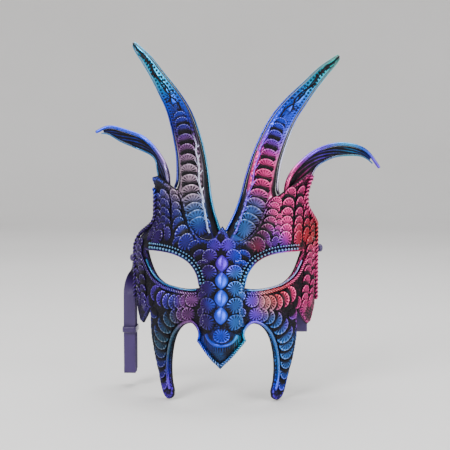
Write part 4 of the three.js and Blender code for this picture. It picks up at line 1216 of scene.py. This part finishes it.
def crescent_form(side):
    """A blade between its two rims, hollow along the front and swelling behind, with a vein of fine ribs."""
    t = np.linspace(0, 0.9, 130)[:, None]
    v = np.linspace(0, 1, 22)[None, :]
    tall = crescent_height(side, t)
    high = np.minimum(0.7, (2 * crescent_rim(False, t) + 0.1) / tall)
    low = 1 - np.minimum(0.3, (2 * crescent_rim(True, t) + 0.1) / tall)
    thick = BLADE_THICK * mix(1, 0.5, t)
    bow = 1 - (2 * v - 1) ** 2
    rib = np.cos(2 * np.pi * (t * 150 - v * 3)) * bow
    outer = crescent_face(side, t, mix(high, low, v))
    inner = outer.copy()
    outer[..., 1] += thick * (0.3 + 0.3 * bow) - 0.16 * rib
    inner[..., 1] += thick * (1 + 0.25 * bow)
    # Painted shade keeps the blade dark, a little lighter along its ribs.
    return plate(outer, inner, 0.12 + 0.24 * rib)


def crescent_rim_form(side, low):
    """A rolled rim that tapers along the blade."""
    s = np.linspace(0, 1, 120) * 0.985
    t = mix(0.12 if low else 0, 0.94 if low else 1, s)
    rim = crescent_rim(low, t)
    over = rim / crescent_height(side, t)
    path = crescent_face(side, t, 1 - over if low else over)
    path[:, 1] += rim
    form = tube(path, rim, front_up(path), 14)
    # The low rim takes painted teal light.
    return form.toned("teal", 0.5) if low else form


# ---- trim on the face ----


def face_path(side, curve, inset, lift, t):
    """A drawn line pushed sideways and laid on the face, with the face's normal along it."""
    sign = SIDES[side]
    d = heading_of(lambda at: place(sign, curve(at)), t)
    p = place(sign, curve(t)) + stacked(-d[:, 1], d[:, 0]) * inset * sign
    angle = angle_at(p[:, 0], p[:, 1])
    return skin(angle, p[:, 1], lift), mould_normal(angle, p[:, 1])


def even(side, curve, inset, low, high, pitch):
    """Parameters along a face path whose points are `pitch` apart."""
    t = np.linspace(low, high, 400)
    s = run_length(face_path(side, curve, inset, 1.0, t)[0])
    return np.interp(np.arange(0, s[-1], pitch), s, t)


def face_cord(side, curve, inset, lift, t, radius, count, ripple=None):
    """A cord along a drawn line on the face."""
    path, up = face_path(side, curve, inset, lift, t)
    return tube(path, radius, up, count, ripple)


def lid_beads_form(side):
    """Two rows of small beads over the upper lid, standing on a thin cord."""
    forms = []
    for inset, radius, pitch in ((3.0, 1.15, 3.1), (5.9, 0.8, 2.6)):
        t = even(side, upper_lid, inset, 0.05, 0.95, pitch)
        path = face_path(side, upper_lid, inset, 1.35, t)[0]
        # Painted cyan light on the beads.
        forms.append(beads(path, radius).toned("cyan", 0.65))
    forms.append(face_cord(side, upper_lid, 1.1, 0.9, np.linspace(0.03, 0.97, 90), LID_CORD, 10))
    return merged(forms)


def lower_lid_form(side):
    """A smooth inner cord and a row of fine slanting ribs outside it."""
    inner = face_cord(side, lower_lid, -1.3, 1.1, np.linspace(0.08, 0.92, 110), LOWER_LID_CORD, 10)
    outer = face_cord(side, lower_lid, -4.1, 1.5, np.linspace(0.08, 0.94, 260), LOWER_LID_RIBS, 14,
                      (0.16, 3, 2.2))
    # Painted cyan light on the inner cord.
    return merged([inner.toned("cyan", 0.6), outer])


def mouth_cord_form(side):
    """A smooth cord round the mouth opening."""
    return face_cord(side, mouth_edge, 2.0, 1.45, np.linspace(0.05, 0.975, 200), MOUTH_CORD, 14)


def wing_braid_form(side):
    """Slanting ridges like a rope along the wing's edge."""
    z = np.linspace(-27, WING_TOP[side][1] - 7, 420)
    angle = SIDES[side] * np.minimum(math.radians(80), back_edge(side, z) - math.radians(3.4))
    path = skin(angle, z, 2.3)
    return tube(path, WING_BRAID, mould_normal(angle, z), 16, (0.2, 2, 3.4), 0.85)


# Each row: keys drawn from the front, or a column of [degrees round the face, height]; count, widths.
ROWS = {
    "brow_scales": ({"keys": [[26.5, 20], [32, 28], [36.2, 36.5], [38, 45], [39.5, 53], [41.5, 59]]},
                    7, [7.0, 5.2]),
    "temple_scales": ({"left": [[48, 22], [50, 34], [51, 48], [51.5, 63]],
                       "right": [[41, 22], [42, 34], [43, 48], [46, 65]]}, 6, [6.9, 6.2]),
    "outer_temple_scales": ({"left": [[58, 25], [59.3, 40], [59.3, 60]],
                             "right": [[52.5, 22], [53.2, 40], [55.3, 66]]}, 6, [5.2, 4.8]),
    "side_scales": ({"left": [[59.5, -34.5], [61, -22], [64.5, -4], [67, 9], [68, 20]],
                     "right": [[59.5, -34.5], [61, -22], [64.5, -4], [67, 9], [66.5, 24]]},
                    9, [4.2, 6.4, 6.0]),
    "cheek_scales": ({"keys": [[21, -22.6], [30, -24.6], [38, -25.5], [47, -24.3], [57, -18.2]]},
                     7, [5.2, 6.7]),
    "tusk_scales": ({"keys": [[24.5, -34.2], [33, -35.2], [43, -40], [50, -52], [51.5, -66], [50, -81],
                              [46.3, -97]]}, 11, [5.0, 6.5, 9.2, 7.6, 3.4]),
}

# Smaller fillers between the rows, per row they belong with: drawn point, heading in degrees, half width.
FILLERS = {
    "brow_scales": [(35.5, 22.5, 50, 4.6), (15.5, 6, 70, 4.6), (17.5, 13.5, 60, 5.4), (21.5, 20, 55, 5.6)],
    "cheek_scales": [(17, -31, 190, 4.6), (16.5, -39, 200, 4.2), (60, -27, -20, 5.0), (56.5, -36, -60, 4.8)],
}

# Further columns where a row leaves the shell bare: count, widths, and the column or keys by side.
COLUMNS = {
    "brow_scales": [
        (5, [3.2, 3.4, 3.0], {"left": {"keys": [[44, 24], [45, 34], [46, 46], [46.5, 55]]},
                              "right": {"keys": [[41.5, 23], [42.8, 31], [43.6, 39], [44, 47]]}})],
    "outer_temple_scales": [
        (5, [4.8, 4.4, 3.4], {"right": {"column": [[61.5, 24], [62.5, 36], [61.8, 48], [60.6, 57]]}}),
        (3, [4.6], {"right": {"column": [[71, 22], [71.5, 30], [70, 38]]}})],
    "side_scales": [
        (8, [3.6, 5.2, 5.2], {side: {"column": [[68, -31], [71, -20], [75, -4], [76, 9], [76, 18]]}
                              for side in SIDES})],
}


def column_form(curve, count, widths):
    """Fan scales that face along a curve on the unrolled face."""
    centres, headings, t = row_stations(curve, count)
    wide = np.interp(t, np.linspace(0, 1, len(widths)), widths)
    long = np.maximum(wide * 0.8, np.linalg.norm(curve(1.0) - curve(0.0)) / count * 0.95)
    return fan_scales(on_face, centres, headings, wide, long, ROW_RISE, ROW_RIDGES, foot=first_bare(count))


def row_form(side, name):
    """A row of fan scales with its further columns and small fillers."""
    spec, count, widths = ROWS[name]
    curve = face_curve(side, keys=spec["keys"]) if "keys" in spec else face_curve(side, column=spec[side])
    forms = [column_form(curve, count, widths)]
    for more, sizes, where in COLUMNS.get(name, []):
        if side in where:
            forms.append(column_form(face_curve(side, **where[side]), more, sizes))
    for x, z, heading, size in FILLERS.get(name, []):
        centre = drawn_flat(side, [x, z])[None]
        a = math.radians(heading)
        forms.insert(0, fan_scales(on_face, centre, np.array([[SIDES[side] * math.cos(a), math.sin(a)]]),
                                   size, size * 0.9, 1.3, 11))
    return merged(forms)


# ---- nose ----


def domed(centre, half_x, half_z, rise, power, crease):
    """A pointed oval: half width (1 - |t|^power) of its largest, domed, with a crease down its middle."""
    t = np.linspace(-1, 1, 33)[:, None]
    v = np.linspace(-1, 1, 21)[None, :]
    x = centre[0] + half_x * (1 - np.abs(t) ** power) * v
    z = centre[1] + half_z * t + 0 * v
    angle = angle_at(x, z)
    body = (1 - v**2) ** 0.55 * (1 - np.abs(t) ** 2.5) ** 0.6
    lift = LAYER_GAP + rise * body + SKIN_GAP + crease * bell(v, 0.16) * body
    # Painted light: lighter on the crown of the oval, darker towards its edge.
    return plate(skin(angle, z, lift), skin(angle, z, SKIN_GAP), 0.25 + 0.45 * body)


def medallions_form():
    """A pair of ridged discs at the top and four pointed ovals down the ridge."""
    forms = []
    heading = np.array([[0.0, 1.0]])
    for x, z, size in ((-6.3, 21.0, 5.8), (5.3, 21.2, 5.8)):
        centre = unroll(np.array([x, z]))[None]
        forms.append(fan_scales(on_face, centre, heading, size, size, 1.1, 14, foot=0.8))
    for z in (7.2, -6.2, -19.4, -32.6):
        forms.append(domed((0.3, z), 4.9, 6.9, 2.3, 1.9, 0.25))
    return merged(forms)


def flank_form(side):
    """Five ridged discs beside the ridge, each set between two medallions, over three smaller ones."""
    z = np.array([12.6, -0.2, -13.0, -25.8, -38.6])
    x = SIDES[side] * np.interp(z, [-45, 19], [10.4, 9.3])
    centres = unroll(stacked(x, z))
    a = np.radians([62, 60, 40, 30, 20])
    headings = stacked(SIDES[side] * np.cos(a), np.sin(a))
    forms = [fan_scales(on_face, centres, headings, DISC, DISC, 1.35, 14, foot=0.8)]
    small = [0, 2, 3]
    outer = unroll(stacked(SIDES[side] * np.array([13.6, 14.6, 14.8]), z[small] - 6.4))
    forms.insert(0, fan_scales(on_face, outer, headings[small], SMALL_DISC, SMALL_DISC, 1.0, 10, foot=0.3))
    return merged(forms)


def tip_plate_form():
    """A shield under the nose with a round ridged disc and a raised arc below it."""
    over = np.linspace(-1, 1, 61)[:, None]
    v = np.linspace(0, 1, 31)[None, :]
    low = mix(-68.5, -52.5, np.abs(over) ** 1.1)
    high = mix(-43.5, -51, np.abs(over) ** 1.6)
    x, z = over * 15.5 + 0 * v, mix(low, high, v)
    edge = np.minimum(1 - np.abs(over), np.minimum(v, 1 - v) * 2)
    away = np.hypot(x / 1.25 - 0.6, z + 46.5)
    arc = bell(away - 9.2, 0.8) * (z < -47)
    fret = 0.12 * np.cos(2 * np.pi * x / 1.6) * bell(away - 11.8, 1.6) * (z < -50)
    lift = LAYER_GAP + 0.8 * smooth(edge / 0.12) + 0.9 * arc + fret
    angle = angle_at(x, z)
    # Painted highlight on the raised arc, with the fret lighter and darker by turns.
    clean = 0.22 + 0.7 * arc + 1.5 * fret
    forms = [plate(skin(angle, z, lift), skin(angle, z, 0.2), clean)]
    centre = unroll(np.array([0.8, -47.5]))[None]
    forms.append(fan_scales(on_face, centre, np.array([[0.0, -1.0]]), 5.6, 5.6, 1.7, 14, 1.6, 0.9))
    return merged(forms)


def nose_braid_form():
    """A twisted cord along the shield's pointed edge."""
    over = np.linspace(-1, 1, 320)
    x, z = over * 17.4, mix(-71.2, -54.3, np.abs(over) ** 1.1)
    angle = angle_at(x, z)
    path = skin(angle, z, 1.7)
    return tube(path, SHIELD_BRAID, mould_normal(angle, z), 14, (0.2, 2, 2.3))


# ---- the add-on ----


# Painted coloured lights, and the ribbon's own colour: where each shows, and its colour.
LIGHT_TINTS_AND_RIBBON = {
    "teal": ("Horn tips", (0.0, 0.44, 0.34)),
    "cyan": ("Upper horns and bright rims", (0.0, 0.5, 0.74)),
    "blue": ("Middle of the horns", (0.02, 0.1, 0.8)),
    "indigo": ("Forehead and left side", (0.05, 0.04, 0.42)),
    "violet": ("Rims and nose", (0.2, 0.05, 0.72)),
    "purple": ("Left wing and left of the nose", (0.08, 0.015, 0.26)),
    "rose": ("Right horn and wing", (0.78, 0.07, 0.36)),
    "blush": ("Under the right eye", (0.8, 0.42, 0.42)),
    "red": ("Right wing's edge", (0.7, 0.05, 0.08)),
    "maroon": ("Right brow", (0.3, 0.04, 0.07)),
    "mauve": ("Left horn and cheek", (0.3, 0.1, 0.34)),
    "pearl": ("Foot of the left horn", (0.52, 0.4, 0.5)),
    "ice": ("Right horn's outer strip", (0.75, 0.85, 1.0)),
    "steel": ("Nose, tusks and foot of the right horn", (0.05, 0.25, 0.6)),
    "slate": ("Left tusk", (0.05, 0.14, 0.22)),
    "periwinkle": ("Medallions on the nose", (0.07, 0.18, 0.95)),
    "ribbon": ("Satin ties", (0.03, 0.008, 0.1)),
}


class MaskTints(bpy.types.PropertyGroup):
    """The painted coloured lights and the ribbon's colour, by name."""

    __annotations__ = {
        key: bpy.props.FloatVectorProperty(name=key.title(), description=text, default=colour,
                                           subtype="COLOR", size=3, min=0, max=1)
        for key, (text, colour) in LIGHT_TINTS_AND_RIBBON.items()}


class MaskStage(bpy.types.PropertyGroup):
    """Where the camera stands, and its lens."""

    azimuth: bpy.props.FloatProperty(name="Azimuth", description="Camera's turn from the front",
                                     default=math.radians(3), subtype="ANGLE")
    elevation: bpy.props.FloatProperty(name="Elevation", description="Camera's height angle",
                                       default=math.radians(4), subtype="ANGLE")
    distance: bpy.props.FloatProperty(name="Distance", description="Camera to mask", default=0.85,
                                      subtype="DISTANCE", unit="LENGTH")
    lens: bpy.props.FloatProperty(name="Lens", description="Focal length, millimetres", default=85,
                                  unit="CAMERA")


def add_area_light(name, target, at, size, power):
    """A white disc of light facing its target."""
    data = bpy.data.lights.new(name, "AREA")
    data.shape, data.size, data.energy = "DISK", size, power
    light = bpy.data.objects.new(name, data)
    light.location = at
    light.rotation_euler = (Vector(target) - Vector(at)).to_track_quat("-Z", "Y").to_euler()
    bpy.context.scene.collection.objects.link(light)


class MASK_OT_stage(bpy.types.Operator):
    """Pale floor that curves up all round, soft lights and the camera"""

    bl_idname = "mask.stage"
    bl_label = "Stage"

    def execute(self, context):
        settings = context.scene.mask_stage
        floor_z = cad_box[0][2] - 0.0006
        bend = np.linspace(0, np.pi / 2, 24)
        r = np.concatenate([[0.05, 0.6, 1.2], DISH_FLAT + DISH_BEND * np.sin(bend), [DISH_FLAT + DISH_BEND]])
        z = np.concatenate([[0, 0, 0], DISH_BEND * (1 - np.cos(bend)), [DISH_HIGH]]) + floor_z
        turn = spread(96)
        points = stacked(r[:, None] * np.cos(turn), r[:, None] * np.sin(turn), z[:, None])
        faces = ring_faces(len(r), 96)[:, ::-1].tolist() + [list(range(96))]
        mesh = bpy.data.meshes.new("studio_floor")
        mesh.from_pydata(points.reshape(-1, 3).tolist(), [], faces)
        mesh.shade_smooth()
        mesh.materials.append(finish("floor"))
        floor = bpy.data.objects.new("studio_floor", mesh)
        context.scene.collection.objects.link(floor)
        target = Vector(LOOK_AT)
        for name, light in LIGHTS.items():
            add_area_light(name, target, *light)
        add_area_light("overhead", (0, 0.001, 0), *OVERHEAD)
        world = bpy.data.worlds.new("studio")
        world.use_nodes = True
        for socket, value in enumerate(WORLD):
            world.node_tree.nodes["Background"].inputs[socket].default_value = value
        context.scene.world = world
        data = bpy.data.cameras.new("camera")
        data.lens, data.sensor_width = settings.lens, 36
        camera = bpy.data.objects.new("camera", data)
        a, e = settings.azimuth, settings.elevation
        away = Vector((math.sin(a) * math.cos(e), -math.cos(a) * math.cos(e), math.sin(e)))
        camera.location = target + away * settings.distance
        camera.rotation_euler = (-away).to_track_quat("-Z", "Y").to_euler()
        context.scene.collection.objects.link(camera)
        context.scene.camera = camera
        return {"FINISHED"}


class MASK_OT_ribbons(bpy.types.Operator):
    """The two ribbon ties, folded in their hanks"""

    bl_idname = "mask.ribbons"
    bl_label = "Ribbons"

    def execute(self, context):
        for side in SIDES:
            form, path, length = ribbon_form(side)
            piece = make(f"{side}_tie_ribbon", form, "satin", f"{side}_ribbon", f"{side}_ribbon_hank",
                         body=f"{side}_tie")
            metres = (path + SHIFT) / 1000
            length / 1000
        return {"FINISHED"}


class MASK_OT_hank_ties(bpy.types.Operator):
    """Bands that hold the folded ribbon"""

    bl_idname = "mask.hank_ties"
    bl_label = "Hank ties"

    def execute(self, context):
        for side in SIDES:
            make(f"{side}_hank_band", tie_form(side), "satin", f"{side}_hank_tie", body=f"{side}_tie")
        return {"FINISHED"}


class MASK_OT_knots(bpy.types.Operator):
    """Ribbon knots on both sides of each eyelet"""

    bl_idname = "mask.knots"
    bl_label = "Knots"

    def execute(self, context):
        for side in SIDES:
            make(f"{side}_tie_knot", knot_form(side), "satin", f"{side}_knot", body=f"{side}_tie")
        return {"FINISHED"}


class MASK_OT_eyelets(bpy.types.Operator):
    """Brass eyelets in the temples"""

    bl_idname = "mask.eyelets"
    bl_label = "Eyelets"

    def execute(self, context):
        for side in SIDES:
            make(f"{side}_brass_eyelet", eyelet_form(side), "brass", f"{side}_eyelet")
        return {"FINISHED"}


class MASK_OT_pad(bpy.types.Operator):
    """The forehead pad"""

    bl_idname = "mask.pad"
    bl_label = "Forehead pad"

    def execute(self, context):
        piece = make("cloth_pad", pad_form(), "pad", "forehead_pad")
        return {"FINISHED"}


class MASK_OT_lining(bpy.types.Operator):
    """Felt inside the face"""

    bl_idname = "mask.lining"
    bl_label = "Lining"

    def execute(self, context):
        form, area = lining_form()
        piece = make("felt_lining", form, "felt", "lining")
        area / 1e6
        return {"FINISHED"}


class MASK_OT_face(bpy.types.Operator):
    """The carved face"""

    bl_idname = "mask.face"
    bl_label = "Face"

    def execute(self, context):
        make("carved_face", face_shell_form(), "shell", "face_shell")
        return {"FINISHED"}


class MASK_OT_horns(bpy.types.Operator):
    """Horns, their rims, vines and scales"""

    bl_idname = "mask.horns"
    bl_label = "Horns"

    def execute(self, context):
        for side in SIDES:
            make(f"{side}_etched_horn", horn_form(side), "horn", f"{side}_horn")
            for far, which in enumerate(("inner", "outer")):
                make(f"{side}_{which}_roll", horn_rim_form(side, far), "trim", f"{side}_horn_{which}_rim")
            make(f"{side}_vine", vine_form(side), "trim", f"{side}_horn_vine")
            make(f"{side}_horn_fans", horn_scales_form(side), "scale", f"{side}_horn_scales")
        return {"FINISHED"}


class MASK_OT_crescents(bpy.types.Operator):
    """Side crescents with their rims"""

    bl_idname = "mask.crescents"
    bl_label = "Crescents"

    def execute(self, context):
        for side in SIDES:
            make(f"{side}_blade", crescent_form(side), "horn", f"{side}_crescent")
            for low, which in enumerate(("top", "low")):
                make(f"{side}_{which}_roll", crescent_rim_form(side, low), "trim",
                     f"{side}_crescent_{which}_rim")
        return {"FINISHED"}


class MASK_OT_scale_rows(bpy.types.Operator):
    """Rows of fan scales on the face"""

    bl_idname = "mask.scale_rows"
    bl_label = "Scale rows"

    def execute(self, context):
        for side in SIDES:
            for name in ROWS:
                make(f"{side}_{name.replace('scales', 'fans')}", row_form(side, name), "scale",
                     f"{side}_{name}")
        return {"FINISHED"}


class MASK_OT_nose(bpy.types.Operator):
    """Medallions, discs, tip plate and braid on the nose"""

    bl_idname = "mask.nose"
    bl_label = "Nose"

    def execute(self, context):
        make("ridge_medallions", medallions_form(), "medallion", "nose_medallions")
        make("nose_shield", tip_plate_form(), "medallion", "nose_tip_plate")
        make("shield_braid", nose_braid_form(), "trim", "nose_braid")
        for side in SIDES:
            make(f"{side}_flank_discs", flank_form(side), "scale", f"{side}_nose_flank", slot="medallion")
        return {"FINISHED"}


class MASK_OT_trim(bpy.types.Operator):
    """Beads, cords and braids round the eyes, the mouth and the wings"""

    bl_idname = "mask.trim"
    bl_label = "Trim"

    def execute(self, context):
        makers = {"lid_beads": lid_beads_form, "lower_lid_cord": lower_lid_form,
                  "mouth_cord": mouth_cord_form, "wing_braid": wing_braid_form}
        for side in SIDES:
            for name, maker in makers.items():
                make(f"{side}_fine_{name}", maker(side), "trim", f"{side}_{name}")
        return {"FINISHED"}


OPERATORS = [MASK_OT_stage, MASK_OT_ribbons, MASK_OT_hank_ties, MASK_OT_knots, MASK_OT_eyelets, MASK_OT_pad,
             MASK_OT_face, MASK_OT_lining, MASK_OT_horns, MASK_OT_crescents, MASK_OT_scale_rows, MASK_OT_nose,
             MASK_OT_trim]


class MASK_PT_panel(bpy.types.Panel):
    """Lists the pieces, the painted coloured lights and the stage"""

    bl_idname = "MASK_PT_panel"
    bl_label = "Horned mask"
    bl_space_type = "VIEW_3D"
    bl_region_type = "UI"
    bl_category = "Mask"

    def draw(self, context):
        for operator in OPERATORS:
            self.layout.operator(operator.bl_idname)
        for group in (context.scene.mask_paint, context.scene.mask_stage):
            for key in group.__annotations__:
                self.layout.prop(group, key)


CLASSES = [MaskTints, MaskStage, *OPERATORS, MASK_PT_panel]


def register():
    for cls in CLASSES:
        bpy.utils.register_class(cls)
    bpy.types.Scene.mask_paint = bpy.props.PointerProperty(type=MaskTints)
    bpy.types.Scene.mask_stage = bpy.props.PointerProperty(type=MaskStage)


def unregister():
    del bpy.types.Scene.mask_stage
    del bpy.types.Scene.mask_paint
    for cls in reversed(CLASSES):
        bpy.utils.unregister_class(cls)


def main():
    register()
    for operator in OPERATORS:
        getattr(bpy.ops.mask, operator.bl_idname.split(".")[1])()


if __name__ == "__main__":
    main()
